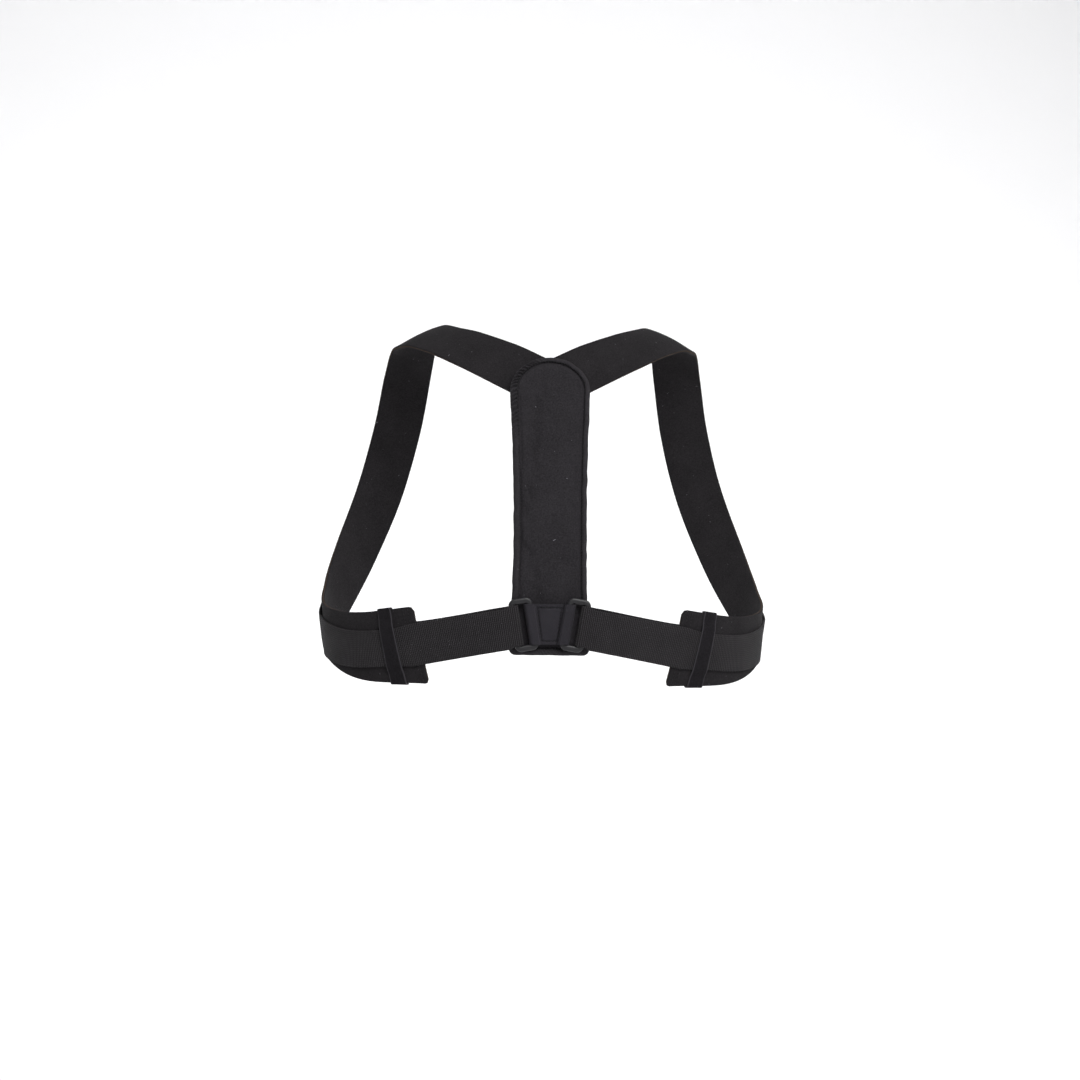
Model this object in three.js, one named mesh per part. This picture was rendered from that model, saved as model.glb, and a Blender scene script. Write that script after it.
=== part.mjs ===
// An adjustable posture corrector in the shape it takes when worn, seen from behind along +Y.
// A bound foam pad lies on the spine. Two foam laminate straps leave it at the top, pass over the
// shoulders and under the arms, and end on the back. From each end an elastic strap runs to a ring at
// the foot of the pad, folds round it, comes back through a keeper and grips with a hook tab.
// Millimetres, +X to the wearer's right, +Y to the front, +Z up. The origin is the middle of the
// pad's inner face, where it lies on the back.
import * as THREE from "three";

const { sin, cos, tan, abs, max, sign, PI } = Math;
const radians = THREE.MathUtils.degToRad;

// The wearer, whose size spaces out the strap's route
const CHEST_WIDTH = 362;
const CHEST_DEPTH = 236;
const SHOULDER_ABOVE_PAD = 23;
const UNDERARM_ABOVE_PAD = 5;

// Foam pad on the spine
const PAD_LENGTH = 246;
const PAD_HEAD_WIDTH = 66;
const PAD_WAIST_WIDTH = 59.5;
const PAD_FOOT_WIDTH = 66;
const PAD_WAIST_HEIGHT = 98;
const PAD_HEAD_ROUND = 30;
const PAD_CORNER = 5;
const PAD_THICKNESS = 7;
const PAD_EDGE_THICKNESS = 3.6;
const PAD_SWELL = 4.5;
const PAD_BEND_RADIUS = 474;
const PAD_LEAN = radians(10);

// Folded tape that binds the pad's edge
const BINDING_WIDTH = 6;
const BINDING_THICKNESS = 0.9;

// Foam laminate strap
const STRAP_THICKNESS = 3;
const STRAP_WIDTH = 60;
const STRAP_TOP_COVER = 22.5;
const STRAP_CROSS_RADIUS = 320;
const RIDGE_CROSS_RADIUS = 100;
const STRAP_CORNER = 4;
const STRAP_END_LEAN = radians(11);

// Elastic, its hook tab and the keeper over it
const ELASTIC_WIDTH = 34;
const ELASTIC_END_WIDTH = 29.6;
const ELASTIC_THICKNESS = 1.5;
const ELASTIC_RETURN = 168;
const ELASTIC_LANDING = 6;
const ELASTIC_BELOW = 1.2;
const ELASTIC_RISE = 2.5;
const ELASTIC_DROP = 3.8;
const ELASTIC_DROP_REACH = 90;
const HOOK_LENGTH = 38;
const HOOK_THICKNESS = 1;
const KEEPER_WIDTH = 12.6;
const KEEPER_THICKNESS = 1.2;
const KEEPER_SETBACK = 25.2;
const KEEPER_STEP = 1.8;

// Moulded ring
const RING_BAR = 5;
const RING_END_BAR = 3.8;
const RING_GAP = 9.6;
const RING_THICKNESS = 3.2;
const RING_BEVEL = 0.7;
const RING_CORNER = 5.5;
const RING_OFFSET = 20.8;
const RING_HEIGHT = 25;
const RING_LEAN = radians(9.5);

// Webbing that ties both rings to the pad
const WEBBING_WIDTH = 32.4;
const WEBBING_RISE = 0.4;
const WEBBING_THICKNESS = 1.2;
const WEBBING_SEAM = 16.4;

const CLEARANCE = 0.3;

// Fineness of the curved surfaces
const STATION_STEPS = 6;
const STRAP_COLUMNS = 6;
const ELASTIC_COLUMNS = 4;
const ELASTIC_SPAN_STEPS = 7;
const FOLD_STEPS = 8;
const KEEPER_TURN_STEPS = 2;
const PAD_COLUMNS = 8;
const PAD_SIDE_STEPS = 18;
const PAD_HEAD_STEPS = 9;
const CORNER_STEPS = 3;

// The strap's middle line, station by station from the pad's side to its own end on the back, for the
// right shoulder. across is a share of half the chest's width, deep one of its depth from the back, and
// high one of the rise from the strap's own end to the shoulder's top. turn and tip aim the outer face:
// turn in degrees round from straight back, tip in degrees above level. wide is a share of STRAP_WIDTH.
const STRAP_ROUTE = [
  { place: "beside the pad", across: 0.193, deep: 0.213, high: 0.896, turn: 6, tip: 27, wide: 0.67 },
  { place: "shoulder blade", across: 0.348, deep: 0.272, high: 0.945, turn: 14, tip: 42, wide: 0.67 },
  { place: "behind the ridge", across: 0.475, deep: 0.346, high: 0.982, turn: 40, tip: 58, wide: 0.67 },
  { place: "shoulder ridge", across: 0.566, deep: 0.446, high: 1, turn: 85, tip: 62, wide: 0.67 },
  { place: "shoulder front", across: 0.605, deep: 0.556, high: 0.971, turn: 145, tip: 54, wide: 0.67 },
  { place: "collar bone", across: 0.635, deep: 0.66, high: 0.871, turn: 166, tip: 32, wide: 0.67 },
  { place: "upper chest", across: 0.68, deep: 0.734, high: 0.699, turn: 171, tip: 12, wide: 0.67 },
  { place: "chest", across: 0.757, deep: 0.764, high: 0.499, turn: 165, tip: 1, wide: 0.67 },
  { place: "armpit front", across: 0.862, deep: 0.719, high: 0.303, turn: 148, tip: -6, wide: 0.67 },
  { place: "under the arm", across: 0.956, deep: 0.6, high: 0.143, turn: 122, tip: -8, wide: 0.67 },
  { place: "side", across: 1, deep: 0.437, high: 0.063, turn: 92, tip: -7, wide: 0.68 },
  { place: "armpit back", across: 0.961, deep: 0.276, high: 0.025, turn: 60, tip: -3, wide: 0.74 },
  { place: "back", across: 0.818, deep: 0.132, high: -0.002, turn: 30, tip: 0, wide: 0.92 },
  { place: "end", across: 0.567, deep: 0.043, high: 0.006, turn: 9, tip: 0, wide: 1.05 },
];

// Closed surface helpers
// Triangles join each pair of neighbouring rings, both of the same length, and each ring closes on itself.
function joinRings(triangles, ringStarts, ringLength) {
  for (let i = 1; i < ringStarts.length; i++) {
    for (let j = 0; j < ringLength; j++) {
      const next = (j + 1) % ringLength;
      const [a, b] = [ringStarts[i - 1] + j, ringStarts[i - 1] + next];
      const [c, d] = [ringStarts[i] + j, ringStarts[i] + next];
      triangles.push(a, b, d, a, d, c);
    }
  }
}

function toGeometry(points, triangles) {
  const geometry = new THREE.BufferGeometry().setFromPoints(points);
  geometry.setIndex(triangles);
  return geometry;
}

// A wall between two sheets of points. Each row holds its points on the outer and on the inner face.
function wallGeometry(rows) {
  const columns = rows[0].outer.length;
  const points = rows.flatMap((row) => [...row.outer, ...[...row.inner].reverse()]);
  const starts = rows.map((row, i) => i * 2 * columns);
  const triangles = [];
  joinRings(triangles, starts, 2 * columns);
  for (let j = 0; j < columns - 1; j++) {
    const [a, b] = [j, j + 1];
    const [c, d] = [2 * columns - 1 - j, 2 * columns - 2 - j];
    triangles.push(a, d, b, a, c, d);
    const last = starts[starts.length - 1];
    triangles.push(last + a, last + b, last + d, last + a, last + d, last + c);
  }
  return toGeometry(points, triangles);
}

// The pad's own coordinates: across its width, up its length, and out from its inner face. The pad is
// bent to an arc, so that its head leans forward to the nape.
const PAD_ARC_CENTRE = new THREE.Vector3(0, cos(PAD_LEAN), -sin(PAD_LEAN)).multiplyScalar(PAD_BEND_RADIUS);

function padTilt(up) {
  return PAD_LEAN + (up - PAD_LENGTH / 2) / PAD_BEND_RADIUS;
}

function padPoint(across, up, out) {
  const tilt = padTilt(up);
  const reach = PAD_BEND_RADIUS + out;
  return new THREE.Vector3(across, -cos(tilt) * reach, sin(tilt) * reach).add(PAD_ARC_CENTRE);
}

// Half the pad's width at a height, which narrows to a waist between its head and its foot.
function padHalfWidth(up) {
  const head = PAD_LENGTH - PAD_HEAD_ROUND;
  const end = up < PAD_WAIST_HEIGHT ? PAD_FOOT_WIDTH : PAD_HEAD_WIDTH;
  const share =
    up < PAD_WAIST_HEIGHT
      ? (PAD_WAIST_HEIGHT - up) / PAD_WAIST_HEIGHT
      : (up - PAD_WAIST_HEIGHT) / (head - PAD_WAIST_HEIGHT);
  return (PAD_WAIST_WIDTH + (end - PAD_WAIST_WIDTH) * share * share) / 2;
}

// The right side of the pad's outline, from the foot to just under the apex, set in by an inset.
function padSide(inset) {
  const corner = max(PAD_CORNER - inset, 1);
  const low = inset + corner;
  const high = PAD_LENGTH - PAD_HEAD_ROUND;
  const side = [];
  for (let i = 0; i < CORNER_STEPS; i++) {
    const angle = ((PI / 2) * i) / CORNER_STEPS;
    const across = padHalfWidth(low) - inset - corner * (1 - sin(angle));
    side.push([across, low - corner * cos(angle)]);
  }
  for (let i = 0; i <= PAD_SIDE_STEPS; i++) {
    const up = low + ((high - low) * i) / PAD_SIDE_STEPS;
    side.push([padHalfWidth(up) - inset, up]);
  }
  for (let i = 1; i < PAD_HEAD_STEPS; i++) {
    const angle = ((PI / 2) * i) / PAD_HEAD_STEPS;
    const across = (PAD_HEAD_WIDTH / 2 - inset) * cos(angle);
    side.push([across, high + (PAD_HEAD_ROUND - inset) * sin(angle)]);
  }
  return side;
}

// The whole outline at an inset, as a ring of points at one distance out from the inner face.
function padRing(inset, out) {
  const side = padSide(inset);
  const [footHalf, footUp] = side[0];
  const foot = [];
  for (let j = 1; j < PAD_COLUMNS; j++) {
    foot.push([footHalf * ((2 * j) / PAD_COLUMNS - 1), footUp]);
  }
  const apex = [[0, PAD_LENGTH - inset]];
  const left = side.map(([across, up]) => [-across, up]).reverse();
  return [...foot, ...side, ...apex, ...left].map(([across, up]) => padPoint(across, up, out));
}

// Triangles that close a pad ring with a face: rows across between its two sides, and a fan at the apex.
function padFace(points, triangles, ringStart, inset, out, facesOut) {
  const side = padSide(inset);
  const rowsUp = side.length;
  const rightStart = ringStart + PAD_COLUMNS - 1;
  const apex = rightStart + rowsUp;
  const grid = side.map(([half, up], i) => {
    const row = [apex + rowsUp - i];
    for (let j = 1; j < PAD_COLUMNS; j++) {
      if (i === 0) {
        row.push(ringStart + j - 1);
      } else {
        row.push(points.length);
        points.push(padPoint(half * ((2 * j) / PAD_COLUMNS - 1), up, out));
      }
    }
    row.push(rightStart + i);
    return row;
  });
  const add = (a, b, c) => (facesOut ? triangles.push(a, b, c) : triangles.push(a, c, b));
  for (let i = 1; i < grid.length; i++) {
    for (let j = 0; j < PAD_COLUMNS; j++) {
      const [a, b, c, d] = [grid[i - 1][j], grid[i - 1][j + 1], grid[i][j], grid[i][j + 1]];
      add(a, b, d);
      add(a, d, c);
    }
  }
  const last = grid[grid.length - 1];
  for (let j = 0; j < PAD_COLUMNS; j++) {
    add(last[j], last[j + 1], apex);
  }
}

// A swollen foam panel, pressed thin along the edge that the binding holds
function spinePadGeometry() {
  const middle = PAD_THICKNESS / 2;
  const thin = PAD_EDGE_THICKNESS / 2;
  const edge = BINDING_THICKNESS + CLEARANCE;
  const pressed = BINDING_WIDTH + CLEARANCE;
  const full = pressed + PAD_SWELL;
  const section = [
    { inset: full, out: 0 },
    { inset: pressed, out: middle - thin },
    { inset: edge, out: middle - thin },
    { inset: edge, out: middle + thin },
    { inset: pressed, out: middle + thin },
    { inset: full, out: PAD_THICKNESS },
  ];
  const rings = section.map(({ inset, out }) => padRing(inset, out));
  const points = rings.flat();
  const ringLength = rings[0].length;
  const starts = rings.map((ring, i) => i * ringLength);
  const triangles = [];
  joinRings(triangles, starts, ringLength);
  padFace(points, triangles, starts[0], full, 0, false);
  padFace(points, triangles, starts[starts.length - 1], full, PAD_THICKNESS, true);
  return toGeometry(points, triangles);
}

// Tape folded over the panel's edge, a U in section that runs all the way round
function padBindingGeometry() {
  const middle = PAD_THICKNESS / 2;
  const inner = PAD_EDGE_THICKNESS / 2 + CLEARANCE;
  const outer = inner + BINDING_THICKNESS;
  const shoulder = BINDING_THICKNESS * 2;
  const turned = outer * 0.75;
  const section = [
    [BINDING_WIDTH, -outer],
    [shoulder, -outer],
    [BINDING_THICKNESS / 2, -turned],
    [0, 0],
    [BINDING_THICKNESS / 2, turned],
    [shoulder, outer],
    [BINDING_WIDTH, outer],
    [BINDING_WIDTH, inner],
    [BINDING_THICKNESS, inner],
    [BINDING_THICKNESS, -inner],
    [BINDING_WIDTH, -inner],
  ];
  const rings = section.map(([inset, out]) => padRing(inset, middle + out));
  const points = rings.flat();
  const ringLength = rings[0].length;
  const starts = rings.map((ring, i) => i * ringLength);
  const triangles = [];
  joinRings(triangles, [...starts, starts[0]], ringLength);
  return toGeometry(points, triangles);
}

// Where the rings and the elastic meet the pad: a flat seat that touches the pad at the rings' height.
// Its x runs across, its z up the pad, and its y in towards the wearer.
const ringSeat = new THREE.Object3D();
ringSeat.position.copy(padPoint(0, RING_HEIGHT, 0));
ringSeat.rotation.x = -padTilt(RING_HEIGHT);
ringSeat.updateMatrixWorld(true);

const RING_OUT = PAD_THICKNESS + CLEARANCE + ELASTIC_THICKNESS + CLEARANCE + RING_THICKNESS / 2;

// A point of the seat, from its distance outward from the ring's middle square to the ring's length, its
// distance along the ring's length and its distance out from the pad's inner face.
function seatPoint(outward, along, out) {
  const x = RING_OFFSET + outward * cos(RING_LEAN) + along * sin(RING_LEAN);
  const z = -outward * sin(RING_LEAN) + along * cos(RING_LEAN);
  return new THREE.Vector3(x, -out, z).applyMatrix4(ringSeat.matrixWorld);
}

// A flat moulded frame with one slot, which the webbing and the elastic share
function ringGeometry() {
  const halfWidth = RING_GAP / 2 + RING_BAR;
  const halfHeight = ELASTIC_WIDTH / 2 + 2 * CLEARANCE + RING_END_BAR;
  const [x, y, r] = [halfWidth - RING_BEVEL, halfHeight - RING_BEVEL, RING_CORNER - RING_BEVEL];
  const outline = new THREE.Shape();
  outline.moveTo(x, -y + r);
  outline.lineTo(x, y - r);
  outline.absarc(x - r, y - r, r, 0, PI / 2);
  outline.lineTo(-x + r, y);
  outline.absarc(-x + r, y - r, r, PI / 2, PI);
  outline.lineTo(-x, -y + r);
  outline.absarc(-x + r, -y + r, r, PI, 1.5 * PI);
  outline.lineTo(x - r, -y);
  outline.absarc(x - r, -y + r, r, 1.5 * PI, 2 * PI);
  const slotX = RING_GAP / 2 + RING_BEVEL;
  const slotY = halfHeight - RING_END_BAR + RING_BEVEL;
  outline.holes.push(
    new THREE.Path([
      new THREE.Vector2(-slotX, -slotY),
      new THREE.Vector2(-slotX, slotY),
      new THREE.Vector2(slotX, slotY),
      new THREE.Vector2(slotX, -slotY),
    ]),
  );
  const geometry = new THREE.ExtrudeGeometry(outline, {
    depth: RING_THICKNESS - 2 * RING_BEVEL,
    bevelEnabled: true,
    bevelThickness: RING_BEVEL,
    bevelSize: RING_BEVEL,
    bevelSegments: 2,
    curveSegments: 5,
  });
  geometry.translate(0, 0, RING_BEVEL - RING_THICKNESS / 2);
  geometry.rotateX(PI / 2);
  return geometry;
}

// One length of webbing whose ends overlap on the pad, where both layers are sewn down, with a loop on
// either side round a ring's inner bar. It is drawn as its section at mid height, then leaned as the
// rings are.
function ringWebbingGeometry() {
  const low = PAD_THICKNESS + CLEARANCE;
  const baseTop = low + WEBBING_THICKNESS;
  const seamTop = low + 3 * WEBBING_THICKNESS;
  const loopIn = RING_OUT + RING_THICKNESS / 2 + CLEARANCE;
  const loopTop = loopIn + WEBBING_THICKNESS;
  const foldX = RING_OFFSET - (RING_GAP / 2 + RING_BEVEL) / cos(RING_LEAN);
  const barX = RING_OFFSET - (RING_GAP / 2 + RING_BAR + CLEARANCE) / cos(RING_LEAN);
  const seamX = WEBBING_SEAM / 2;
  const foldOut = (baseTop + loopIn) / 2;
  const inside = (loopIn - baseTop) / 2;
  const outside = inside + WEBBING_THICKNESS;
  const fold = (radius) =>
    Array.from({ length: FOLD_STEPS + 1 }, (unused, i) => {
      const angle = (PI * i) / FOLD_STEPS;
      return [foldX + radius * sin(angle), foldOut - radius * cos(angle)];
    });
  const half = [...fold(outside), [barX, loopTop], [seamX, seamTop]];
  const hole = [
    ...fold(inside),
    [barX, loopIn],
    [seamX + WEBBING_THICKNESS, seamTop - WEBBING_THICKNESS],
    [seamX + WEBBING_THICKNESS, baseTop + WEBBING_THICKNESS / 5],
  ];
  const toPoints = (corners, side) => corners.map(([x, out]) => new THREE.Vector2(side * x, out));
  const outline = new THREE.Shape([...toPoints(half, 1), ...toPoints(half, -1).reverse()]);
  outline.holes.push(new THREE.Path(toPoints(hole, 1)), new THREE.Path(toPoints(hole, -1)));
  const geometry = new THREE.ExtrudeGeometry(outline, { depth: WEBBING_WIDTH, bevelEnabled: false });
  geometry.translate(0, 0, WEBBING_RISE - WEBBING_WIDTH / 2);
  const place = geometry.getAttribute("position");
  for (let i = 0; i < place.count; i++) {
    const x = place.getX(i);
    place.setX(i, x + sign(x) * place.getZ(i) * tan(RING_LEAN));
  }
  return mirrored(geometry, 1, -1, 1);
}

// The strap's route as two smooth curves through the same stations: its middle line, and its aim and
// width. The first station lies behind the pad's head and is worked out from the pad.
const PAD_STATION_UP = PAD_LENGTH - STRAP_TOP_COVER;
const strapStart = padPoint(CLEARANCE / 2, PAD_STATION_UP, -CLEARANCE - STRAP_THICKNESS / 2);
const backLevel = padPoint(0, PAD_LENGTH / 2 - PAD_BEND_RADIUS * PAD_LEAN, 0).y;
const endLevel = padPoint(0, 0, 0).z + UNDERARM_ABOVE_PAD;
const shoulderLevel = padPoint(0, PAD_LENGTH, 0).z + SHOULDER_ABOVE_PAD;
const strapLine = new THREE.CatmullRomCurve3(
  [
    strapStart,
    ...STRAP_ROUTE.map(
      ({ across, deep, high }) =>
        new THREE.Vector3(
          (across * CHEST_WIDTH) / 2,
          backLevel + deep * CHEST_DEPTH,
          THREE.MathUtils.lerp(endLevel, shoulderLevel, high),
        ),
    ),
  ],
  false,
  "catmullrom",
  0.5,
);
const startAim = new THREE.Vector3(0, padTilt(PAD_STATION_UP), STRAP_ROUTE[0].wide * STRAP_WIDTH);
const strapAim = new THREE.CatmullRomCurve3(
  [
    startAim,
    ...STRAP_ROUTE.map(
      ({ turn, tip, wide }) => new THREE.Vector3(radians(turn), radians(tip), wide * STRAP_WIDTH),
    ),
  ],
  false,
  "catmullrom",
  0.5,
);
const LAST_STATION = STRAP_ROUTE.length;

// The strap at a station, whole or between two: its middle, the way along it, the way across it towards
// the arm, the way its outer face looks, and half its width.
function strapFrame(station) {
  const share = station / LAST_STATION;
  const middle = strapLine.getPoint(share);
  const along = strapLine.getTangent(share);
  const { x: turn, y: tip, z: width } = strapAim.getPoint(share);
  const aim = new THREE.Vector3(sin(turn) * cos(tip), -cos(turn) * cos(tip), sin(tip));
  const face = aim.addScaledVector(along, -aim.dot(along)).normalize();
  const across = new THREE.Vector3().crossVectors(along, face);
  return { middle, along, across, face, half: width / 2 };
}

// Both straps are cut upright where they meet flat behind the pad, so over the first stretch the way
// across and the way out turn from the pad's own to the strap's.
const UPRIGHT_STATIONS = 1.4;
const startMiddle = strapFrame(0);
const padUp = padPoint(0, PAD_STATION_UP + 1, 0).sub(padPoint(0, PAD_STATION_UP, 0)).normalize();
const padOut = padPoint(0, PAD_STATION_UP, 1).sub(padPoint(0, PAD_STATION_UP, 0));
padUp.divideScalar(padUp.dot(startMiddle.across));

// The strap's end is cut in line with the ring, so over the last stretch what lies across it leans.
const LEAN_STATIONS = 2.5;

// Over the shoulder's ridge the strap bows more across its width.
const RIDGE_STATION = STRAP_ROUTE.findIndex(({ place }) => place === "shoulder ridge") + 1;
const RIDGE_STATIONS = 2;

// A point on or over the strap, across from its middle and out from the middle of its thickness.
function strapPoint(station, aside, out) {
  const { middle, along, across, face } = strapFrame(station);
  const upright = THREE.MathUtils.smoothstep(UPRIGHT_STATIONS - station, 0, UPRIGHT_STATIONS);
  const leaning = THREE.MathUtils.smoothstep(station, LAST_STATION - LEAN_STATIONS, LAST_STATION);
  const ridge = THREE.MathUtils.smoothstep(-abs(station - RIDGE_STATION), -RIDGE_STATIONS, 0);
  const bow = THREE.MathUtils.lerp(1 / STRAP_CROSS_RADIUS, 1 / RIDGE_CROSS_RADIUS, ridge);
  const dip = (aside * aside * bow) / 2;
  return middle
    .addScaledVector(across.lerp(padUp, upright), aside)
    .addScaledVector(along, -aside * tan(STRAP_END_LEAN) * leaning)
    .addScaledVector(face.lerp(padOut, upright).normalize(), out - dip);
}

// The station that lies a length back along the strap from its end
function stationFromEnd(length) {
  const step = 1 / 64;
  let station = LAST_STATION;
  let left = length;
  for (;;) {
    const span = strapFrame(station).middle.distanceTo(strapFrame(station - step).middle);
    if (span >= left) {
      return station - (step * left) / span;
    }
    left -= span;
    station -= step;
  }
}

// One row across a ribbon that lies on the strap, its middle moved up across the strap by a shift
function rowOnStrap(station, half, out, thickness, columns, shift = 0) {
  const asides = Array.from(
    { length: columns + 1 },
    (unused, j) => shift + half * ((2 * j) / columns - 1),
  );
  return {
    outer: asides.map((aside) => strapPoint(station, aside, out + thickness / 2)),
    inner: asides.map((aside) => strapPoint(station, aside, out - thickness / 2)),
  };
}

// Places from one station up to another, with the same ones between them for every piece on the strap,
// so that the pieces keep their distance
function stationsBetween(from, to) {
  const apart = 1 / (4 * STATION_STEPS);
  const places = [from];
  for (let i = 0; i <= LAST_STATION * STATION_STEPS; i++) {
    const station = i / STATION_STEPS;
    if (station > from + apart && station < to - apart) {
      places.push(station);
    }
  }
  return [...places, to];
}

function shoulderStrapGeometry() {
  const rows = stationsBetween(0, stationFromEnd(STRAP_CORNER)).map((station) =>
    rowOnStrap(station, strapFrame(station).half, 0, STRAP_THICKNESS, STRAP_COLUMNS),
  );
  for (let i = 1; i <= CORNER_STEPS; i++) {
    const angle = ((PI / 2) * i) / CORNER_STEPS;
    const station = stationFromEnd(STRAP_CORNER * (1 - sin(angle)));
    const half = strapFrame(station).half - STRAP_CORNER * (1 - cos(angle));
    rows.push(rowOnStrap(station, half, 0, STRAP_THICKNESS, STRAP_COLUMNS));
  }
  return wallGeometry(rows);
}

// Levels over the strap's middle at which the pieces on it lie
const ON_STRAP = STRAP_THICKNESS / 2 + CLEARANCE;
const ELASTIC_LEVEL = ON_STRAP + ELASTIC_THICKNESS / 2;
const HOOKED_LEVEL = ELASTIC_LEVEL + HOOK_THICKNESS + CLEARANCE;
const HOOK_END_STATION = stationFromEnd(ELASTIC_RETURN);
const HOOK_START_STATION = stationFromEnd(ELASTIC_RETURN - HOOK_LENGTH);
const HOOK_RAMP_STATION = stationFromEnd(ELASTIC_RETURN - HOOK_LENGTH - 4 * HOOK_THICKNESS);
const KEEPER_STATION = stationFromEnd(KEEPER_SETBACK);
const KEEPER_FAR_STATION = stationFromEnd(KEEPER_SETBACK + KEEPER_WIDTH / 2);
const DROPPED_STATION = stationFromEnd(ELASTIC_DROP_REACH);

// One row across the elastic at the seat, at a place on its path beside or round the ring's bar. The
// turn goes from nothing on the layer next to the pad to half a circle on the layer that comes back.
function rowOnSeat(outward, out, turn) {
  const half = ELASTIC_THICKNESS / 2;
  const row = (side) =>
    Array.from({ length: ELASTIC_COLUMNS + 1 }, (unused, j) =>
      seatPoint(
        outward + side * half * sin(turn),
        (ELASTIC_WIDTH / 2) * ((2 * j) / ELASTIC_COLUMNS - 1),
        out + side * half * cos(turn),
      ),
    );
  return { outer: row(1), inner: row(-1) };
}

// Rows that pass smoothly from one row to another, leaving and arriving along two directions
function spanRows(from, to, fromWay, toWay, steps) {
  const reach = from.outer[0].distanceTo(to.outer[0]) / 3;
  const line = (side, share) =>
    from[side].map((point, j) =>
      new THREE.CubicBezierCurve3(
        point,
        point.clone().addScaledVector(fromWay, reach),
        to[side][j].clone().addScaledVector(toWay, -reach),
        to[side][j],
      ).getPoint(share),
    );
  return Array.from({ length: steps - 1 }, (unused, i) => {
    const share = (i + 1) / steps;
    return { outer: line("outer", share), inner: line("inner", share) };
  });
}

// How far the elastic stands over the strap's middle, half its width, and how far up across the strap
// its middle lies, at a station. The keeper gathers it, and past the keeper it keeps level while the
// strap climbs to the arm.
function elasticLevel(station) {
  const share = (HOOK_RAMP_STATION - station) / (HOOK_RAMP_STATION - HOOK_START_STATION);
  return THREE.MathUtils.lerp(ELASTIC_LEVEL, HOOKED_LEVEL, THREE.MathUtils.clamp(share, 0, 1));
}

function elasticHalf(station) {
  const share = THREE.MathUtils.smoothstep(station, KEEPER_FAR_STATION, LAST_STATION);
  return THREE.MathUtils.lerp(ELASTIC_END_WIDTH, ELASTIC_WIDTH, share) / 2;
}

function elasticShift(station) {
  const up = max((station - KEEPER_STATION) / (LAST_STATION - KEEPER_STATION), 0);
  const down = THREE.MathUtils.smoothstep(-station, -KEEPER_STATION, -DROPPED_STATION);
  return ELASTIC_RISE * up * up - ELASTIC_DROP * down - ELASTIC_BELOW;
}

function rowOfElastic(station, half, level, thickness) {
  return rowOnStrap(station, half, level, thickness, ELASTIC_COLUMNS, elasticShift(station));
}

// Elastic, sewn to the strap's end: beside the pad to the ring, round its outer bar, and back over the
// strap to the hook tab. Its rows keep the face that looks away from the wearer on the first layer.
function elasticGeometry() {
  const foldOutward = RING_GAP / 2 + RING_BEVEL;
  const foldRadius = RING_THICKNESS / 2 + CLEARANCE + ELASTIC_THICKNESS / 2;
  const pastPad = (PAD_FOOT_WIDTH / 2 - RING_OFFSET) / cos(RING_LEAN) + 3 * ELASTIC_THICKNESS;
  const pastRing = RING_GAP / 2 + RING_BAR + ELASTIC_THICKNESS;
  const end = strapFrame(LAST_STATION);
  const toRing = seatPoint(0, 0, 0).sub(seatPoint(1, 0, 0));
  const fromRing = toRing.clone().negate();

  const seam = rowOfElastic(LAST_STATION, ELASTIC_WIDTH / 2, 0, ELASTIC_THICKNESS);
  const seamPoints = [...seam.outer, ...seam.inner];
  seamPoints.forEach((point) => point.addScaledVector(end.along, CLEARANCE));
  const besidePad = rowOnSeat(pastPad, RING_OUT - foldRadius, 0);
  const fold = Array.from({ length: FOLD_STEPS + 1 }, (unused, i) => {
    const turn = (PI * i) / FOLD_STEPS;
    return rowOnSeat(foldOutward - foldRadius * sin(turn), RING_OUT - foldRadius * cos(turn), turn);
  });
  const overRing = rowOnSeat(pastRing, RING_OUT + foldRadius, PI);

  const landing = stationFromEnd(ELASTIC_LANDING);
  const stations = [
    ...stationsBetween(HOOK_END_STATION, HOOK_START_STATION),
    ...stationsBetween(HOOK_RAMP_STATION, landing),
  ];
  const onStrap = stations.reverse().map((station) => {
    const level = elasticLevel(station);
    const row = rowOfElastic(station, elasticHalf(station), level, ELASTIC_THICKNESS);
    return { outer: row.inner, inner: row.outer };
  });
  const away = onStrap[1].outer[ELASTIC_COLUMNS / 2].clone();
  away.sub(onStrap[0].outer[ELASTIC_COLUMNS / 2]).normalize();
  return wallGeometry([
    seam,
    ...spanRows(seam, besidePad, end.along, toRing, ELASTIC_SPAN_STEPS),
    besidePad,
    ...fold,
    overRing,
    ...spanRows(overRing, onStrap[0], fromRing, away, ELASTIC_SPAN_STEPS),
    ...onStrap,
  ]);
}

// Hook tape under the elastic's own end, which grips the strap's brushed face
function hookTabGeometry() {
  const level = ON_STRAP + HOOK_THICKNESS / 2;
  const rows = stationsBetween(HOOK_END_STATION, HOOK_START_STATION).map((station) => {
    const half = elasticHalf(station) - ELASTIC_THICKNESS;
    return rowOfElastic(station, half, level, HOOK_THICKNESS);
  });
  return wallGeometry(rows);
}

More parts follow.
